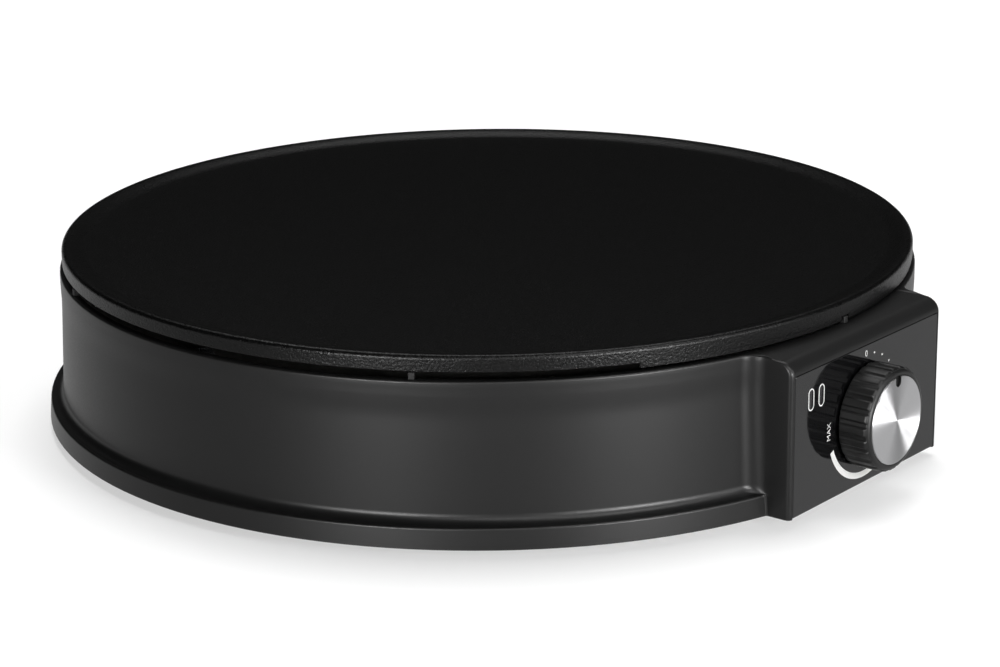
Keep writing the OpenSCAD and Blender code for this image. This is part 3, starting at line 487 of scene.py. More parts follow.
def between(tree, factor, colour, shade):
    """A colour between two sRGB hex colours."""
    return add_node(tree, "ShaderNodeMix", {"Factor": factor, 6: linear(colour), 7: linear(shade)},
                    data_type="RGBA").outputs[2]


def spread_over(tree, value, low, high, start=0.0, end=1.0):
    """Maps a value that runs from start to end onto low to high, and holds it there beyond."""
    return add_node(tree, "ShaderNodeMapRange", {
        "Value": value, "From Min": start, "From Max": end, "To Min": low, "To Max": high}).outputs[0]


def relief_of(tree, height, depth):
    return add_node(tree, "ShaderNodeBump", {"Height": height, "Distance": depth * MM, "Strength": 1.0}).outputs[0]


def shade_with(tree, sockets):
    shader = add_node(tree, "ShaderNodeBsdfPrincipled", sockets)
    add_node(tree, "ShaderNodeOutputMaterial", {"Surface": shader.outputs[0]})


NOISE_LOW, NOISE_HIGH = 0.3, 0.7     # between these lie most values of a noise


def surface(name, colour, shade, roughness, spread, grain=0.6, relief=0.01, metallic=0.0, ior=1.5,
            mottle=6.0, stretch=(1, 1, 1), **sockets):
    """A material whose colour wanders between two near shades and whose roughness and relief follow a fine grain.

    grain and mottle are the sizes of one feature in millimetres, and relief its depth."""
    material, tree = empty_material(name)
    drawn = add_node(tree, "ShaderNodeMapping", {"Vector": coordinates(tree), "Scale": stretch}).outputs[0]
    clouds = noise(tree, drawn, mottle, 3.0)
    fine = noise(tree, drawn, grain, 2.0)
    shade_with(tree, {
        "Base Color": between(tree, clouds, colour, shade),
        "Roughness": spread_over(tree, fine, roughness - spread, roughness + spread, NOISE_LOW, NOISE_HIGH),
        "Normal": relief_of(tree, fine, relief), "Metallic": metallic, "IOR": ior, **sockets})
    return material


def metal(name, colour, shade, roughness, spread, grain, relief, **more):
    return surface(name, colour, shade, roughness, spread, grain, relief, metallic=1.0, **more)


def sleeve(name, colour, shade, **more):
    """Silicone sleeve of a lead: soft, with a low gloss."""
    return surface(name, colour, shade, 0.55, 0.05, **more)


# PBT moulded in a spark-eroded tool: charcoal, satin, with a grain that spreads each highlight
moulded_pbt = surface("moulded_pbt_satin", "#191919", "#1c1c1c", 0.36, 0.03, 0.55, 0.006, mottle=40, ior=1.33)
# ABS moulded in a polished tool: deep black with sharp, clear reflections
polished_abs = surface("polished_black_abs", "#0b0b0c", "#0d0d0e", 0.06, 0.01, 3.0, 0.001, mottle=30)
# phenolic moulding of the knob: soft black, satin, slightly worn on the ribs
knob_phenolic = surface("moulded_phenolic_knob", "#0d0d0d", "#111111", 0.42, 0.05, 0.5, 0.01, mottle=8, ior=1.4)
# polycarbonate lens tinted dark: smooth, with light held in its edge
smoked_lens = surface("smoked_polycarbonate", "#1d1c1e", "#232224", 0.12, 0.02, 2.0, 0.001, ior=1.58)
# ink printed through a screen: flat white, very slightly uneven
printing_ink = surface("white_screen_ink", "#f2f2f0", "#e6e6e4", 0.5, 0.05, 0.3, 0.002)
# EPDM rubber moulded matt: dark grey black, almost no gloss
foot_rubber = surface("moulded_epdm_rubber", "#161616", "#1c1c1c", 0.8, 0.08, 0.8, 0.02)
# polypropylene moulded with a coarse matt grain
cover_pp = surface("grained_polypropylene", "#1b1b1c", "#202021", 0.6, 0.06, 0.8, 0.03)
# heat-proof PPS: dull black, lost in the shade of the gap
spacer_pps = surface("moulded_pps_blocks", "#0f0f0f", "#141414", 0.6, 0.05, 0.5, 0.01, ior=1.35)
# steel screw with bright zinc plating: cool grey with a faint cloud
zinc_steel = metal("zinc_plated_steel", "#b9bbbd", "#a6a8ab", 0.3, 0.08, 0.4, 0.004, mottle=2)
# hot-dip aluminised sheet: pale grey with small crystals
aluminised_sheet = metal("aluminised_steel_sheet", "#b9b8b3", "#a3a29e", 0.38, 0.1, 1.2, 0.004, mottle=3)
# posts turned on a lathe: grey, with fine rings across them
turned_steel = metal("turned_steel", "#b4b5b8", "#a8a9ac", 0.28, 0.06, 0.3, 0.004, stretch=(1, 1, 6))
# steel sheath annealed dark: blue grey oxide, dull
oxide_sheath = metal("annealed_oxide_steel", "#5d5c60", "#474649", 0.45, 0.08, 0.5, 0.006, mottle=5)
# fired steatite without glaze: chalky cream
steatite = surface("unglazed_steatite", "#e8e4da", "#dcd7cb", 0.65, 0.06, 0.5)
# spring strip pressed to shape: grey with a soft shine
spring_strip = metal("pressed_spring_steel", "#b8b9bb", "#a2a3a6", 0.32, 0.07, 0.5, 0.004)
# drawn copper tube: warm, with streaks along it
drawn_copper = metal("drawn_copper", "#c98a63", "#b97a55", 0.3, 0.08, 0.5, 0.004, stretch=(0.2, 1, 1))
# thin brass case with a tin wash: pale yellow
fuse_case = metal("tinned_brass_case", "#cbb985", "#bba873", 0.3, 0.06, 0.5, 0.003)
# phenolic switch moulding: dark brown, satin
brown_phenolic = surface("brown_phenolic", "#4a3628", "#3f2d21", 0.45, 0.06)
# shaft drawn bright: clear highlights
bright_steel = metal("bright_drawn_steel", "#bdbdbe", "#adadae", 0.22, 0.05, 0.3, 0.003)
# blown lamp glass: clear, with sharp highlights
neon_glass = surface("clear_lamp_glass", "#f4efe6", "#efe7dc", 0.04, 0.01, 2.0, 0.001,
                     **{"Transmission Weight": 0.85})
# undyed nylon: warm off-white, low gloss
natural_nylon = surface("natural_nylon", "#dedcd2", "#d4d1c6", 0.5, 0.05)
# stiff PVC of the cable bush: black, between rubber and plastic in its gloss
stiff_rubber = surface("stiff_pvc_bush", "#131313", "#191919", 0.55, 0.06, 0.7, 0.015)
# dyed nylon: black, low gloss
black_nylon = surface("black_nylon", "#1a1a1a", "#212121", 0.5, 0.05, 0.6, 0.012)
# brass cut on a machine: yellow, with clear highlights
machined_brass = metal("machined_brass", "#c9a860", "#b8964f", 0.27, 0.06, 0.3, 0.003)
wire_brown = sleeve("brown_silicone_sleeve", "#5a3520", "#4e2d1a")
wire_black = sleeve("black_silicone_sleeve", "#1b1b1b", "#232323")
wire_blue = sleeve("blue_silicone_sleeve", "#2a4f96", "#234482")
# the earth lead's sleeve: green that turns yellow every few millimetres
wire_green = sleeve("green_silicone_sleeve", "#7a9a2c", "#c9b32d", mottle=3)
wire_white = sleeve("white_silicone_sleeve", "#dcdcd6", "#d0d0ca")


def coated_plate():
    """Cast aluminium under a sprayed non-stick coat: near black, satin, with a fine orange peel and pale specks."""
    material, tree = empty_material("sprayed_nonstick_coat")
    place = coordinates(tree)
    # grit of 0.8 mm, coarser than the real 0.1 mm so that it shows
    peel = noise(tree, place, 0.8, 3.0)
    # one cell of 5 mm in fourteen holds a speck
    cells = add_node(tree, "ShaderNodeTexVoronoi", {"Vector": place, "Scale": 1 / (5.0 * MM), "Randomness": 1.0})
    speck = spread_over(tree, cells.outputs["Distance"], 1.0, 0.0, 0.03, 0.05)
    few = add_node(tree, "ShaderNodeSeparateColor", {"Color": cells.outputs["Color"]}).outputs[0]
    chosen = calc(tree, "GREATER_THAN", few, 0.93)
    mask = calc(tree, "MULTIPLY", speck, chosen)
    shade_with(tree, {
        "Base Color": between(tree, mask, "#080808", "#3a3a3a"),
        "Roughness": spread_over(tree, peel, 0.26, 0.36, NOISE_LOW, NOISE_HIGH),
        "Normal": relief_of(tree, peel, 0.16), "IOR": 1.27})
    return material


def spun_aluminium():
    """Aluminium spun on a lathe: fine rings that draw each light out into a fan across the disc."""
    material, tree = empty_material("spun_aluminium")
    to_middle = (-DIAL_X * MM, CAP_BACK * MM, -DIAL_Z * MM)
    centred = add_node(tree, "ShaderNodeMapping", {"Vector": coordinates(tree), "Location": to_middle}).outputs[0]
    # rings 0.35 mm apart, coarser than the real 0.1 mm so that they show; the wave node repeats every TAU / 20
    rings = add_node(tree, "ShaderNodeTexWave", {
        "Vector": centred, "Scale": TAU / (20 * 0.35 * MM), "Distortion": 0.6, "Detail": 2.0, "Detail Scale": 1.5},
        wave_type="RINGS", rings_direction="Y").outputs["Fac"]
    way = add_node(tree, "ShaderNodeTangent", axis="Y", direction_type="RADIAL").outputs[0]
    shade_with(tree, {
        "Base Color": between(tree, rings, "#dcdcdd", "#cfcfd1"), "Roughness": spread_over(tree, rings, 0.38, 0.46),
        "Normal": relief_of(tree, rings, 0.004), "Metallic": 1.0, "Anisotropic": 0.97, "Anisotropic Rotation": 0.25,
        "Tangent": way})
    return material


nonstick_coat = coated_plate()
spun_disc = spun_aluminium()


def finish_piece(obj, material, body, slot, *nodes):
    """Paints a piece, lets it ride on its body and stand for its CAD nodes."""
    obj.data.materials.clear()
    obj.data.materials.append(material)
    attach(obj, body)
    if nodes:
        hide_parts(*nodes)
    return obj


# -------- housing

FRONT_STEPS = 12
CORNER_STEPS = 6
SIDE_STEPS = 4
BLEND_STEPS = 8
ROUND_STEPS = 64
WALL_LEVELS = (0.25, 0.5, 0.75, 0.8, 0.85, 0.9, 0.95)     # closer together where the wall swells
BROW_TURNS = (0, 15, 30, 45, 60, 70, 80, 90)
BROW_PULLS = (0, 0, 0, 0, 0.08, 0.22, 0.5, 1.0)           # how far the box's sides draw in over the brow


def housing_ring(r, half, front, blend, z_wall, z_front, recess=None, flat_half=PANEL_HALF, corner=BOX_CORNER_R):
    """One level of the housing's outline: the box's front, its side, the hollow corner and the round wall."""
    reach = half + blend
    cy = math.sqrt((r + blend) ** 2 - reach ** 2)
    turn = math.degrees(math.atan2(cy, reach))
    back_y = recess if recess is not None else front
    pts = [(flat_half * i / FRONT_STEPS, -back_y, z_front) for i in range(FRONT_STEPS + 1)]
    pts.append((flat_half, -front, z_front))
    pts += [(x, y, z_front) for x, y in arc(half - corner, -front + corner, corner, -90, 0, CORNER_STEPS)]
    for i in range(1, SIDE_STEPS):
        share = i / SIDE_STEPS
        pts.append((half, (-front + corner) * (1 - share) - cy * share, z_front * (1 - share) + z_wall * share))
    pts += [(x, y, z_wall) for x, y in arc(reach, -cy, blend, 180, 180 - turn, BLEND_STEPS)]
    pts += [(x, y, z_wall) for x, y in arc(0, 0, r, -turn, 90, ROUND_STEPS)[1:]]
    return pts + [(-x, y, z) for x, y, z in pts[-2:0:-1]]


def on_circle(ring, r, z):
    return [(x * r / math.hypot(x, y), y * r / math.hypot(x, y), z) for x, y, _ in ring]


def wall_r(z):
    """Radius of the wall at a height: it narrows evenly, then swells softly into the bead."""
    share = (z - FLANGE_TOP - COVE_R) / (BEAD_FOOT - FLANGE_TOP - COVE_R)
    swell = max(0.0, (z - BEAD_FOOT + BEAD_SWELL) / BEAD_SWELL)
    return WALL_FOOT_R + (RIM_R - WALL_FOOT_R) * share + BEAD_OUT * swell * swell * (3 - 2 * swell)


def outer_rings():
    """Levels of the housing's outside, from the foot up to the rim."""
    recess = FACE_Y - PANEL_T
    rings = []

    def low(r, z, blend, pull=0.0):
        rings.append(housing_ring(r, BOX_HALF - pull, FACE_Y - pull, blend, z, z, recess - pull))

    # foot flange with its rounded edge
    low(FLANGE_R - FLANGE_CHAMFER, FOOT_H, FLANGE_BLEND, FLANGE_CHAMFER)
    low(FLANGE_R, FOOT_H + FLANGE_CHAMFER, FLANGE_BLEND)
    edge = arc(FLANGE_R - FLANGE_TAPER - EDGE_R, FLANGE_TOP - EDGE_R, EDGE_R, 0, 90, 5)
    for i, (r, z) in enumerate(edge):
        low(r, z, FLANGE_BLEND + BLEND_STEP * i)
    # cove, whose hollow corner grows as it climbs
    for r, z in arc(WALL_FOOT_R + COVE_R, FLANGE_TOP + COVE_R, COVE_R, 270, 180, 9):
        low(r, z, BLEND_R - (r - WALL_FOOT_R))
    for share in WALL_LEVELS:
        z = FLANGE_TOP + COVE_R + (PANEL_TOP - FLANGE_TOP - COVE_R) * share
        low(wall_r(z), z, BLEND_R)
    low(wall_r(PANEL_TOP), PANEL_TOP, BLEND_R)
    # brow over the panel, and the bead beside it
    rise = SHELL_TOP - BROW_FALL - PANEL_TOP
    bead_r = RIM_R + BEAD_OUT
    bead = [(wall_r(z), z) for z in (PANEL_TOP, BEAD_FOOT - 0.9)]
    bead += [(bead_r, z) for z in (BEAD_FOOT, BEAD_FOOT + 1.4, SHELL_TOP - EDGE_R)]
    bead += arc(bead_r - EDGE_R, SHELL_TOP - EDGE_R, EDGE_R, 0, 90, 3)[1:]
    for (r, z), a, pull in zip(bead, map(math.radians, BROW_TURNS), BROW_PULLS):
        rings.append(housing_ring(
            r, BOX_HALF - pull, FACE_Y - BROW_DEPTH * (1 - math.cos(a)), BLEND_R,
            z, PANEL_TOP + rise * math.sin(a)))
    return rings


def inner_rings(rim, inner_front):
    """Levels from the rim down inside the shell; rim is the last level of the outside."""
    inner_half = BOX_HALF - WALL
    ways = [(RIM_R - RIM_ROUND, SHELL_TOP), (INNER_R + RIM_CHAMFER, SHELL_TOP), (INNER_R, SHELL_TOP - RIM_CHAMFER),
            (INNER_R, SHELF_TOP + 0.05)]
    rings = [on_circle(rim, r, z) for r, z in ways]
    flange_inner = FLANGE_R - FLANGE_TAPER - WALL
    for r, z, blend in ((INNER_R, SHELF_TOP, INNER_BLEND_R), (INNER_FOOT_R, FLANGE_TOP - WALL, INNER_BLEND_R),
                        (flange_inner, FLANGE_TOP - WALL, FLANGE_INNER_BLEND),
                        (flange_inner, FOOT_H, FLANGE_INNER_BLEND)):
        rings.append(housing_ring(r, inner_half, inner_front, blend, z, z, None, inner_half - 2, INNER_CORNER_R))
    return rings


def housing_inside(inner_front):
    """Shelf for the pan, screw pillars, seat of the gland and stud of the lamp holder."""
    bm = bmesh.new()
    shelf_r = PILLAR_CIRCLE_R - PILLAR_R + 1
    shelf_foot = SHELF_TOP - WALL
    turned(bm, [(shelf_r, shelf_foot), (INNER_R + 1, shelf_foot), (INNER_R + 1, SHELF_TOP), (shelf_r, SHELF_TOP)],
           128, True)
    pillar_top = SHELF_TOP - 0.2
    for i in range(PILLAR_COUNT):
        a = math.radians(PILLAR_START + 360 * i / PILLAR_COUNT)
        pillar = bmesh.new()
        turned(pillar, [(0, PILLAR_BORE_TOP), (PILLAR_BORE_R, PILLAR_BORE_TOP), (PILLAR_BORE_R, COVER_TOP),
                        (PILLAR_R, COVER_TOP), (PILLAR_R, pillar_top), (0, pillar_top)], 32)
        moved(pillar, Matrix.Translation((PILLAR_CIRCLE_R * math.cos(a), PILLAR_CIRCLE_R * math.sin(a), 0)))
        add_to(bm, pillar)
    seat = bmesh.new()
    seat_front, chamfer = INNER_R - WALL, 0.2
    turned(seat, [(GLAND_HOLE_R, seat_front), (GLAND_SEAT_R, seat_front), (GLAND_SEAT_R, GLAND_SEAT_END - chamfer),
                  (GLAND_SEAT_R - chamfer, GLAND_SEAT_END), (GLAND_HOLE_R, GLAND_SEAT_END)], 64, True)
    add_to(bm, moved(seat, backwards(GLAND_Z)))
    stud = bmesh.new()
    lamp_x = sum(x for x, _ in LENS_MIDDLES) / 2
    stud_z = LENS_MIDDLES[0][1] - LENS_BODY[1] / 2 - STUD_DROP
    stud_foot = inner_front + 0.5
    turned(stud, [(0, STUD_PIN_END), (STUD_PIN_R, STUD_PIN_END), (STUD_PIN_R, STUD_END), (STUD_R, STUD_END),
                  (STUD_R, stud_foot), (0, stud_foot)], 32)
    add_to(bm, moved(stud, facing_panel(lamp_x, 0, stud_z)))
    return put("housing_inner", bm)


def housing():
    inner_front = FACE_Y - PANEL_T - WALL
    rings = outer_rings()
    rings += inner_rings(rings[-1], inner_front)
    bm = bmesh.new()
    skin(bm, rings, closed=True)
    shell = put("housing", bm)
    carve(shell,
          cylinder_cutter(GLAND_HOLE_R, INNER_R - 5, RIM_R + 8, backwards(GLAND_Z)),
          cylinder_cutter(SHAFT_HOLE_R, inner_front - OVER, FACE_Y, facing_panel(DIAL_X, 0, DIAL_Z)),
          *lens_cutters(inner_front - OVER, FACE_Y))
    return smoothed(join("housing", shell, housing_inside(inner_front)))


finish_piece(housing(), moulded_pbt, "base", "housing", "housing_shell")


# -------- plate

BORDER_STEPS = 20
PLATE_STEPS = 288


def plate():
    """The coated plate above its foot edge, on the CAD's own underside with the batter lip."""
    crest_r = PLATE_R - CREST_EDGE
    cove_w = BORDER_W - CREST_EDGE
    rise = CREST_Z - FACE_Z
    profile = [(r, PLATE_FOOT) for r in (0, 70, 140, PLATE_R - FOOT_EDGE)]
    profile += arc(PLATE_R - FOOT_EDGE, PLATE_FOOT + FOOT_EDGE, FOOT_EDGE, -60, 0, 3)
    profile += arc(crest_r, CREST_Z - CREST_EDGE, CREST_EDGE, 0, 90, 8)
    for i in range(1, BORDER_STEPS + 1):
        share = i / BORDER_STEPS
        profile.append((crest_r - cove_w * share, FACE_Z + rise * (1 + math.cos(math.pi * share)) / 2))
    profile += [(r, FACE_Z) for r in (139, 130, 100, 60, 20, 0)]
    bm = bmesh.new()
    turned(bm, profile, PLATE_STEPS)
    top = put("plate_top", bm)
    under = cad_copy("plate_under", "griddle_plate", below=PLATE_FOOT - 0.005)
    return smoothed(join("griddle", top, under))


finish_piece(plate(), nonstick_coat, "base", "coated_plate", "griddle_plate")


# -------- control panel, scale and lamps

SHIFT = 0.1            # share of the rounded edge that moves the panel's outline; the rest tightens its corners


def panel():
    z0, z1 = panel_lo.z, panel_hi.z
    steps = [(0, FACE_Y - PANEL_T)]
    for a in map(math.radians, (0, 30, 60, 90)):
        steps.append((PANEL_EDGE - PANEL_EDGE * math.cos(a), FACE_Y - PANEL_EDGE + PANEL_EDGE * math.sin(a)))
    rings = []
    for pull, depth in steps:
        outline = []
        for sx, sz, a in ((1, 1, 0), (-1, 1, 90), (-1, -1, 180), (1, -1, 270)):
            cx, cz = sx * (panel_hi.x - PANEL_CORNER_R), z1 - PANEL_CORNER_R if sz > 0 else z0 + PANEL_CORNER_R
            outline += arc(cx, cz, PANEL_CORNER_R - pull * (1 - SHIFT), a, a + 90, 4)
        shift = pull * SHIFT
        rings.append([(x - math.copysign(shift, x), -depth, z - (shift if z > (z0 + z1) / 2 else -shift))
                      for x, z in outline])
    bm = bmesh.new()
    solid(bm, rings)
    slab = put("panel", bm)
    back, front = FACE_Y - 3, FACE_Y + OVER
    carve(slab, cylinder_cutter(SHAFT_HOLE_R, back, front, facing_panel(DIAL_X, 0, DIAL_Z)),
          *lens_cutters(back, front))
    return smoothed(slab)


finish_piece(panel(), polished_abs, "base", "panel", "control_panel")


def clock(angle, r):
    """Point of the scale at an angle clockwise from twelve o'clock, in the panel's X and Z."""
    a = math.radians(angle)
    return DIAL_X + r * math.sin(a), DIAL_Z + r * math.cos(a)


def film_sections(side_a, side_b):
    """Cross-sections of a printed film between its two long sides."""
    return [[(a[0], INK_BACK, a[1]), (b[0], INK_BACK, b[1]), (b[0], INK_FRONT, b[1]), (a[0], INK_FRONT, a[1])]
            for a, b in zip(side_a, side_b)]


def scale_marks():
    """The printed band, the dots and the outlines of the lamp windows."""
    bm = bmesh.new()
    angles = [BAND_FROM + (BAND_TO - BAND_FROM) * i / BAND_STEPS for i in range(BAND_STEPS + 1)]
    solid(bm, film_sections([clock(a, BAND_R1) for a in angles], [clock(a, BAND_R0) for a in angles]))
    for i in range(DOT_COUNT):
        x, z = clock(DOT_FIRST + DOT_STEP * i, DOT_CIRCLE_R)
        dot = [(x + px, z + pz) for px, pz in arc(0, 0, DOT_R, 0, 345, 15)]
        solid(bm, [[(px, y, pz) for px, pz in dot] for y in (INK_BACK, INK_FRONT)])
    for cx, cz in LENS_MIDDLES:
        outer, inner = ([(cx + x, cz + z) for x, z in pill_outline(*size, OUTLINE_STEPS)]
                        for size in (OUTLINE_OUTER, OUTLINE_INNER))
        skin(bm, film_sections(outer, inner), closed=True)
    return put("scale_marks", bm, smooth=INK_SMOOTH)


finish_piece(scale_marks(), printing_ink, "base", "panel")


def lettering(name, words, height, x, z, turn):
    """Printed figures on the panel, centred at x and z, turned anticlockwise."""
    curve = bpy.data.curves.new(name, "FONT")
    curve.body = words
    curve.align_x = "CENTER"
    curve.align_y = "CENTER"
    curve.size = 1.0
    curve.extrude = 0.02
    drawn = new_object(name, curve)
    graph = bpy.context.evaluated_depsgraph_get()
    mesh = bpy.data.meshes.new_from_object(drawn.evaluated_get(graph), depsgraph=graph)
    bpy.data.objects.remove(drawn)
    bm = bmesh.new()
    bm.from_mesh(mesh)
    bpy.data.meshes.remove(mesh)
    bmesh.ops.remove_doubles(bm, verts=bm.verts, dist=LETTER_MERGE)
    xs = [v.co.x for v in bm.verts]
    ys = [v.co.y for v in bm.verts]
    centre = Vector(((min(xs) + max(xs)) / 2, (min(ys) + max(ys)) / 2, 0))
    grow = height / (max(ys) - min(ys))
    for v in bm.verts:
        p = (v.co - centre) * grow
        v.co = Vector((p.x, p.y, INK_T if v.co.z > 0 else -INK_SINK))
    moved(bm, Matrix.Rotation(math.radians(turn), 4, "Z"))
    moved(bm, facing_panel(x, FACE_Y, z))
    return put(name, bm, smooth=INK_SMOOTH)


# height of a figure, its angle and radius on the scale, and its own turn
figure_zero = lettering("scale_zero", "0", 2.1, *clock(0, 20.4), 0)
figure_max = lettering("scale_max", "MAX", 2.0, *clock(268.5, 21.7), 90)
finish_piece(join("scale_figures", figure_zero, figure_max), printing_ink, "base", "panel")


def lens_window(name, lo, hi):
    """A lamp window: the pill that shows, on a wider flange behind the housing's wall."""
    bm = bmesh.new()
    for (w, length), z0, z1, edge in ((LENS_BODY, 0.5, hi.y - lo.y, 0.25), (LENS_FLANGE, 0, LENS_FLANGE_T, 0.1)):
        rings = [level(pill_outline(w, length), z) for z in (z0, z1 - edge)]
        for inset, drop in ((0.6, 0.3), (2, 0)):
            rings.append(level(pill_outline(w - inset * edge, length - inset * edge), z1 - drop * edge))
        solid(bm, rings)
    x, z = middle(lo, hi)
    return put(name + "_window", moved(bm, facing_panel(x, -hi.y, z)))


for lens_name, lens_box in lens_boxes.items():
    finish_piece(lens_window(lens_name, *lens_box), smoked_lens, "base", "lens", lens_name)


# -------- knob

KNOB_STEPS = 192
RIB_TOP = 0.6
RIB_SECTION = [(-RIB_HALF, -0.05), (-1.55, 0.1), (-1.15, 0.48), (-0.85, RIB_TOP),
               (0.85, RIB_TOP), (1.15, 0.48), (1.55, 0.1), (RIB_HALF, -0.05)]


def rib_bar(core_r, h):
    """One rib of the knob, drawn at the origin so that its top faces +X."""
    # heights, and the share of its full depth that the rib has there
    stations = [(0.25, 0.35), (0.55, 0.85), (0.9, 1.0), (h - 1.9, 1.0), (h - 1.35, 0.86), (h - 0.95, 0.45),
                (h - 0.7, 0.0)]
    rings = []
    for z, share in stations:
        top = [(core_r + RIB_DEPTH * (v / RIB_TOP) * share if v > 0 else core_r - 0.35, u, z)
               for u, v in RIB_SECTION]
        rings.append(top + [(core_r - 1.0, RIB_HALF, z), (core_r - 1.0, -RIB_HALF, z)])
    bm = bmesh.new()
    solid(bm, rings)
    return put("rib", bm)


def knob():
    """The knob's core with its hub, bore and seat for the disc, and the ribs round it."""
    core_r = KNOB_R - RIB_DEPTH
    h = KNOB_H
    seat_r = CAP_R + FIT
    seat_z = CAP_BACK - KNOB_BACK
    hub_r, bore_r = SHAFT_R + 2.8, SHAFT_R + 0.05
    bore_top, hollow_top = 8.6, 8.4
    inside_r = core_r - 2.0
    profile = [(0, bore_top), (bore_r, bore_top), (bore_r, 0), (hub_r, 0), (hub_r, hollow_top),
               (inside_r, hollow_top), (inside_r, 0)]
    profile += [(core_r - 0.4, 0), (core_r - 0.1, 0.1), (core_r, 0.4), (core_r, h - 1.2)]
    profile += [(core_r - 0.1, h - 0.75), (core_r - 0.45, h - 0.3), (core_r - 1.0, h - 0.06), (core_r - 1.4, h)]
    profile += [(seat_r + 0.15, h), (seat_r, h - 0.12), (seat_r, seat_z), (0, seat_z)]
    bm = bmesh.new()
    turned(bm, profile, KNOB_STEPS)
    # the flat of the bore, which meets the flat of the shaft
    flat = bmesh.new()
    bmesh.ops.create_cube(flat, size=1.0)
    moved(flat, Matrix.Translation((0, 2.85, 4.9)) @ Matrix.Diagonal((5.2, 0.9, 7.4, 1)))
    add_to(bm, flat)
    core = put("core", bm)
    ribs = ring_of("ribs", rib_bar(core_r, h), RIB_COUNT, 0.0, 0.0, knob_phenolic)
    whole = join("knob_grip", core, ribs)
    to_panel = Matrix.Translation((DIAL_X * MM, -KNOB_BACK * MM, DIAL_Z * MM)) @ Matrix.Rotation(QUARTER, 4, "X")
    whole.data.transform(to_panel)
    return smoothed(whole, KNOB_SMOOTH)


finish_piece(knob(), knob_phenolic, "knob", "knob_plastic", "knob_body")


def disc():
    profile = [(0, 0), (CAP_R - 0.1, 0), (CAP_R, 0.1), (CAP_R, CAP_T - 0.25), (CAP_R - 0.08, CAP_T - 0.08),
               (CAP_R - 0.25, CAP_T)]
    profile += [(r, CAP_T) for r in (13.5, 11, 8, 5, 2, 0)]
    bm = bmesh.new()
    turned(bm, profile, 160)
    plate_of_knob = put("disc", moved(bm, facing_panel(DIAL_X, CAP_BACK, DIAL_Z)))
    at_edge = facing_panel(DIAL_X, 0, DIAL_Z + CAP_R)
    notch = pill_cutter(NOTCH_W, 2 * NOTCH_L, CAP_BACK - OVER, CAP_BACK + 2, at_edge)
    return smoothed(carve(plate_of_knob, notch))


def shade_notch_sides(cap):
    """Gives the sides of the disc's notch the knob's black material: painted shade where the bare metal would catch
    light, so that the notch reads as the pointer.
    """
    cap.data.materials.append(knob_phenolic)
    dial = Vector((DIAL_X, DIAL_Z)) * MM
    for face in cap.data.polygons:
        beside = abs(face.center.x / MM - DIAL_X) < NOTCH_W / 2 + 0.01
        inward = face.center.z / MM > DIAL_Z + CAP_R - NOTCH_L - 0.1
        upright = abs(face.normal.y) < 0.5
        within_rim = (face.center.xz - dial).length < (CAP_R - 0.1) * MM
        if beside and inward and upright and within_rim:
            # the black on these sides is painted shade, in place of lit metal
            face.material_index = 1


shade_notch_sides(finish_piece(disc(), spun_disc, "knob", "spun_disc", "knob_cap"))


# -------- small outer pieces, repeated on rings

def spacer_block():
    top = PLATE_FOOT - 0.3 - SHELL_TOP
    bm = bmesh.new()
    square = [(-1, -1), (1, -1), (1, 1), (-1, 1)]
    solid(bm, [level(square, SHELL_TOP), level(square, SHELL_TOP + top)])
    return round_edges(put("block", bm), 0.25)


spacers = ring_of("rim_blocks", spacer_block(), 6, SPACER_CIRCLE_R, 30, spacer_pps)
finish_piece(spacers, spacer_pps, "base", "spacer", "rim_spacers")


def rubber_foot():
    """A foot with a hollow sole, and above the cover the barb that holds it."""
    bm = bmesh.new()
    profile = [(0, 0.5), (5.2, 0.5), (5.6, 0.1), (6.0, 0), (8.1, 0), (8.7, 0.25), (9, 0.9), (9, 2.7), (8.8, 3.0),
               (3, 3.0)]
    barb = [(3, 0.15), (4.2, 0.15), (3.9, 0.8), (3, 2.3), (2.6, 2.5), (0, 2.5)]
    turned(bm, profile + [(r, COVER_TOP + z) for r, z in barb], 64)
    return put("foot", bm)


feet = ring_of("feet", rubber_foot(), 4, FOOT_CIRCLE_R, 45, foot_rubber)
finish_piece(feet, foot_rubber, "base", "foot_rubber", "rubber_feet")


def cross_screw(shank_r, head_r, head_h, length, flat=False):
    """A cross-recessed screw that points down: head on z = 0, or under it where flat, and a thread on its shank."""
    bm = bmesh.new()
    profile = [(0, -length), (shank_r * 0.4, -length + 0.3)]
    pitch = shank_r * 0.8
    turns = int((length - (head_h if flat else 0) - 1.2) / pitch)
    for i in range(turns):
        z = -length + 0.6 + i * pitch
        profile += [(shank_r * 0.82, z), (shank_r, z + pitch * 0.45), (shank_r, z + pitch * 0.55)]
    if flat:
        profile += [(shank_r * 0.9, -head_h), (head_r, -0.15), (head_r, 0), (head_r - 0.1, 0), (0, 0)]
    else:
        profile += [(shank_r * 0.9, 0), (head_r, 0)]
        for a in map(math.radians, (0, 20, 40, 60, 75)):
            profile.append((head_r * math.cos(a), 0.25 * head_h + 0.75 * head_h * math.sin(a)))
        profile += [(0, head_h)]
    turned(bm, profile, 28)
    screw = put("screw", bm)
    top = 0 if flat else head_h
    depth = 0.9 if flat else 0.75 * head_h
    arm_l, arm_w = head_r * 0.6, 0.32
    outline = [(-arm_l, -arm_w), (arm_l, -arm_w), (arm_l, arm_w), (-arm_l, arm_w)]
    small = [(x * 0.45, y * 0.7) for x, y in outline]
    cross = []
    for turn in (0, 90):
        arm = bmesh.new()
        solid(arm, [level(small, top - depth), level(outline, top + 0.2)])
        cross.append(put("arm", moved(arm, Matrix.Rotation(math.radians(turn), 4, "Z"))))
    return carve(screw, *cross)


def screw_ring(name, screw, place, node):
    """Screws on the circle of the pillars, after the one drawn has been put in its place."""
    screw.data.transform(place)
    ring = ring_of(name, screw, PILLAR_COUNT, PILLAR_CIRCLE_R, PILLAR_START, zinc_steel)
    finish_piece(ring, zinc_steel, "base", "screw_steel", node)


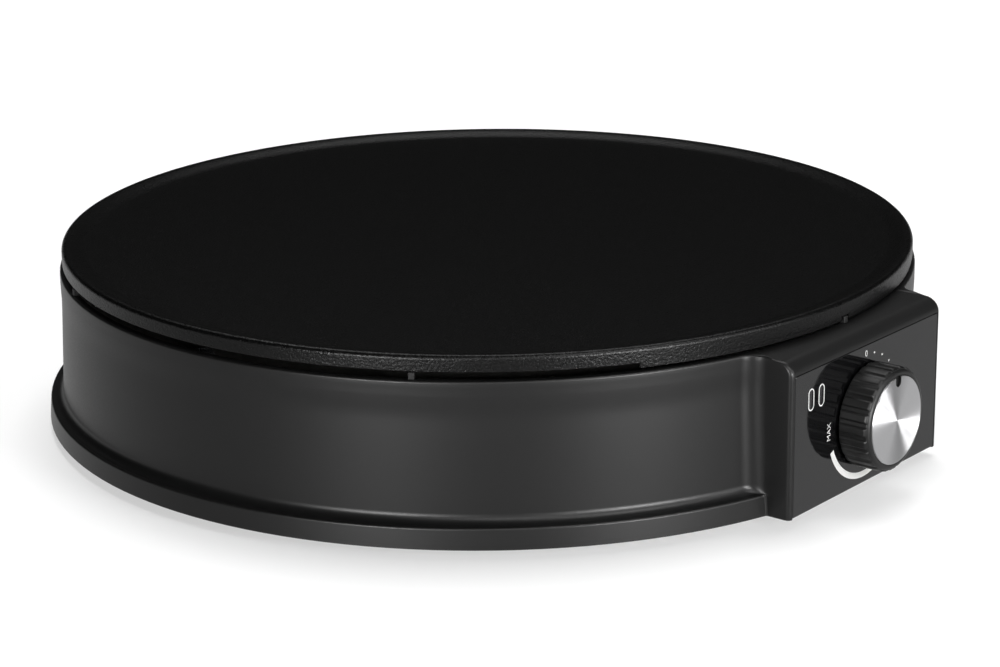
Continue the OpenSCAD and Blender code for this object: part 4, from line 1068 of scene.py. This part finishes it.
point_up = Matrix.Translation((0, 0, FOOT_H * MM)) @ Matrix.Rotation(math.pi, 4, "X")
screw_ring("cover_screws", cross_screw(1.75, 3.6, 2.0, 12, flat=True), point_up, "base_screws")
on_pan = Matrix.Translation((0, 0, PAN_TOP * MM))
screw_ring("pan_screws", cross_screw(1.75, 3.6, 1.9, 10), on_pan, "reflector_screws")


def gland():
    """The cable's bush: a lip inside, a groove that takes the wall, and a collar outside."""
    back, seat, lip = gland_lo.y, gland_lo.y + 8.8, gland_hi.y
    profile = [(4, back), (6.7, back), (6.9, back + 0.2), (7.8, back + 1.2), (7.7, back + 1.35), (6, back + 1.35),
               (6, seat), (8.3, seat), (8.5, seat + 0.25), (8.4, seat + 0.7), (7.9, lip - 0.5), (7.5, lip - 0.1),
               (7.2, lip), (4.6, lip), (4.15, lip - 0.15), (4, lip - 0.6)]
    bm = bmesh.new()
    turned(bm, profile, 96, closed=True)
    return put("gland", moved(bm, backwards(GLAND_Z)))


finish_piece(gland(), stiff_rubber, "base", "gland", "cable_gland")
finish_piece(weigh_normals(cad_copy("cover", "base_cover")), cover_pp, "base", "cover", "base_cover")


# -------- inner pieces: the CAD shapes with smooth curves

INNER = {
    "reflector_pan": (aluminised_sheet, "pan_sheet"), "plate_posts": (turned_steel, "post_steel"),
    "post_screws": (zinc_steel, "screw_steel"), "heating_element": (oxide_sheath, "element_sheath"),
    "element_insulators": (steatite, "ceramic"), "element_clips": (spring_strip, "spring_steel"),
    "clip_screws": (zinc_steel, "screw_steel"), "sensor_bulb": (drawn_copper, "copper"),
    "bulb_clips": (spring_strip, "spring_steel"), "capillary_tube": (drawn_copper, "copper"),
    "thermal_fuse": (fuse_case, "fuse_body"), "fuse_clip": (spring_strip, "spring_steel"),
    "thermostat_body": (brown_phenolic, "phenolic"), "thermostat_bracket": (spring_strip, "spring_steel"),
    "thermostat_screws": (zinc_steel, "screw_steel"), "thermostat_shaft": (bright_steel, "shaft_steel"),
    "knob_spring": (spring_strip, "spring_steel"), "neon_lamps": (neon_glass, "neon_glass"),
    "lamp_holder": (natural_nylon, "nylon"), "lamp_holder_screw": (zinc_steel, "screw_steel"),
    "cord_clamp": (black_nylon, "clamp_plastic"), "clamp_screws": (zinc_steel, "screw_steel"),
    "terminal_block": (natural_nylon, "nylon"), "terminal_barrels": (machined_brass, "terminal_brass"),
    "block_screws": (zinc_steel, "screw_steel"), "earth_tag": (machined_brass, "terminal_brass"),
    "earth_screw": (zinc_steel, "screw_steel"), "live_lead": (wire_brown, "wire_brown"),
    "fuse_lead": (wire_brown, "wire_brown"), "element_lead": (wire_black, "wire_black"),
    "neutral_lead": (wire_blue, "wire_blue"), "earth_lead": (wire_green, "wire_green"),
    "lamp_leads": (wire_white, "wire_white"),
}
KNOB_NODES = ("thermostat_shaft", "knob_spring")
for node_name, (finish, slot_name) in INNER.items():
    copy = weigh_normals(cad_copy(node_name + "_piece", node_name))
    finish_piece(copy, finish, "knob" if node_name in KNOB_NODES else "base", slot_name, node_name)


# -------- floor, light and camera

WHITE = (1, 1, 1, 1)
ROOM_DARK = 0.01               # the room as gloss shows it
ROOM_FILL = 0.12               # the room's light on matt surfaces
FLOOR_R = 6000
FLOOR_IN_GLOSS = 0.65          # the paper as gloss shows it
FLOOR_GLOW = 1.12              # what the paper adds of its own for the camera
GLOW_SHARE = 0.5               # the glow's share near the object, where the rest keeps the shadow
GLOW_NEAR, GLOW_FAR = 500, 900
AIM_Z = 30


def stage_floor():
    """A sheet of white paper on a table, seen as pure white except where the object shades it."""
    material, tree = empty_material("white_paper")
    path = add_node(tree, "ShaderNodeLightPath").outputs
    paper = add_node(tree, "ShaderNodeBsdfDiffuse", {"Color": linear("#f4f4f4")}).outputs[0]
    glow = add_node(tree, "ShaderNodeEmission", {"Color": WHITE, "Strength": FLOOR_GLOW}).outputs[0]
    mirrored = add_node(tree, "ShaderNodeEmission", {"Color": WHITE, "Strength": FLOOR_IN_GLOSS}).outputs[0]
    away = add_node(tree, "ShaderNodeVectorMath", {0: coordinates(tree)}, operation="LENGTH").outputs["Value"]
    # far from the object's shadow the paper is all glow, so that it stays white where the lamps no longer reach
    glowing = spread_over(tree, away, GLOW_SHARE, 1.0, GLOW_NEAR * MM, GLOW_FAR * MM)
    share = calc(tree, "MULTIPLY", path["Is Camera Ray"], glowing)
    both = add_node(tree, "ShaderNodeMixShader", {"Fac": share, 1: paper, 2: glow}).outputs[0]
    whole = add_node(tree, "ShaderNodeMixShader", {"Fac": path["Is Glossy Ray"], 1: both, 2: mirrored}).outputs[0]
    add_node(tree, "ShaderNodeOutputMaterial", {"Surface": whole})
    bm = bmesh.new()
    turned(bm, [(0, 0), (FLOOR_R, 0)], 64)
    floor = put("paper_floor", bm, flip_check=False)
    floor.data.materials.append(material)


def white_world():
    """White where the camera looks, and a dark room around the lamps to everything else."""
    world = bpy.data.worlds.new("white_room")
    bpy.context.scene.world = world
    world.use_nodes = True
    tree = world.node_tree
    tree.nodes.clear()
    path = add_node(tree, "ShaderNodeLightPath").outputs
    room = add_node(tree, "ShaderNodeMix", {"Factor": path["Is Glossy Ray"], 2: ROOM_FILL, 3: ROOM_DARK}).outputs[0]
    seen = add_node(tree, "ShaderNodeMix", {"Factor": path["Is Camera Ray"], 2: room, 3: 1.0}).outputs[0]
    sky = add_node(tree, "ShaderNodeBackground", {"Color": WHITE, "Strength": seen}).outputs[0]
    add_node(tree, "ShaderNodeOutputWorld", {"Surface": sky})


def soft_light(name, azimuth, elevation, distance, width, height, watts, gloss=True, diffuse=True):
    """A rectangular soft light that looks at the object's middle, for gloss, for matt surfaces or for both."""
    data = bpy.data.lights.new(name, "AREA")
    data.shape = "RECTANGLE"
    data.size, data.size_y = width * MM, height * MM
    data.energy = watts
    a, e = math.radians(azimuth), math.radians(elevation)
    way = Vector((math.cos(a) * math.cos(e), math.sin(a) * math.cos(e), math.sin(e)))
    lamp = new_object(name, data)
    lamp.location = way * distance * MM + Vector((0, 0, AIM_Z * MM))
    lamp.rotation_mode = "QUATERNION"
    lamp.rotation_quaternion = way.to_track_quat("Z", "Y")
    lamp.visible_glossy = gloss
    lamp.visible_diffuse = diffuse


def photo_camera():
    turn, e = math.radians(CAMERA_TURN), math.radians(CAMERA_ELEVATION)
    pitch, yaw, roll = (math.radians(v) for v in (CAMERA_PITCH, CAMERA_YAW, CAMERA_ROLL))
    forward = Vector((math.sin(yaw) * math.cos(pitch), math.cos(yaw) * math.cos(pitch), -math.sin(pitch)))
    right = forward.cross(Vector((0, 0, 1))).normalized()
    up = right.cross(forward)
    right, up = math.cos(roll) * right + math.sin(roll) * up, math.cos(roll) * up - math.sin(roll) * right
    round_z = Matrix.Rotation(-turn, 3, "Z")
    place = round_z @ Vector((0, -CAMERA_DISTANCE * math.cos(e), CAMERA_DISTANCE * math.sin(e)))
    axes = Matrix([round_z @ right, round_z @ up, round_z @ -forward]).transposed()
    data = bpy.data.cameras.new("camera")
    data.lens = CAMERA_LENS
    data.sensor_width = SENSOR_W
    data.clip_start, data.clip_end = 0.05, 20.0
    camera = new_object("camera", data)
    camera.matrix_world = Matrix.Translation((place + Vector((0, 0, FOOT_H))) * MM) @ axes.to_4x4()
    bpy.context.scene.camera = camera


stage_floor()
white_world()
# azimuth and elevation in degrees; distance, width and height; watts
soft_light("left_softbox", -166, 6, 1300, 420, 300, 15, diffuse=False)
soft_light("right_softbox", -106, 6, 1300, 420, 300, 20, diffuse=False)
soft_light("side_strip", -75, 15, 1300, 400, 700, 4.5, diffuse=False)
soft_light("front_panel", -136, 35, 1300, 600, 400, 4, diffuse=False)
soft_light("rim_light", -97, 48, 1300, 500, 500, 6, diffuse=False)
soft_light("back_panel", 40, 65, 1300, 1200, 600, 7, diffuse=False)
soft_light("front_fill", -95, 15, 1500, 500, 500, 13, gloss=False)
soft_light("key_light", -20, 60, 3000, 1800, 1800, 20, gloss=False)
soft_light("overhead_light", 39, 72, 3000, 1500, 1500, 84, gloss=False)
photo_camera()
bpy.context.scene.view_settings.view_transform = "Standard"
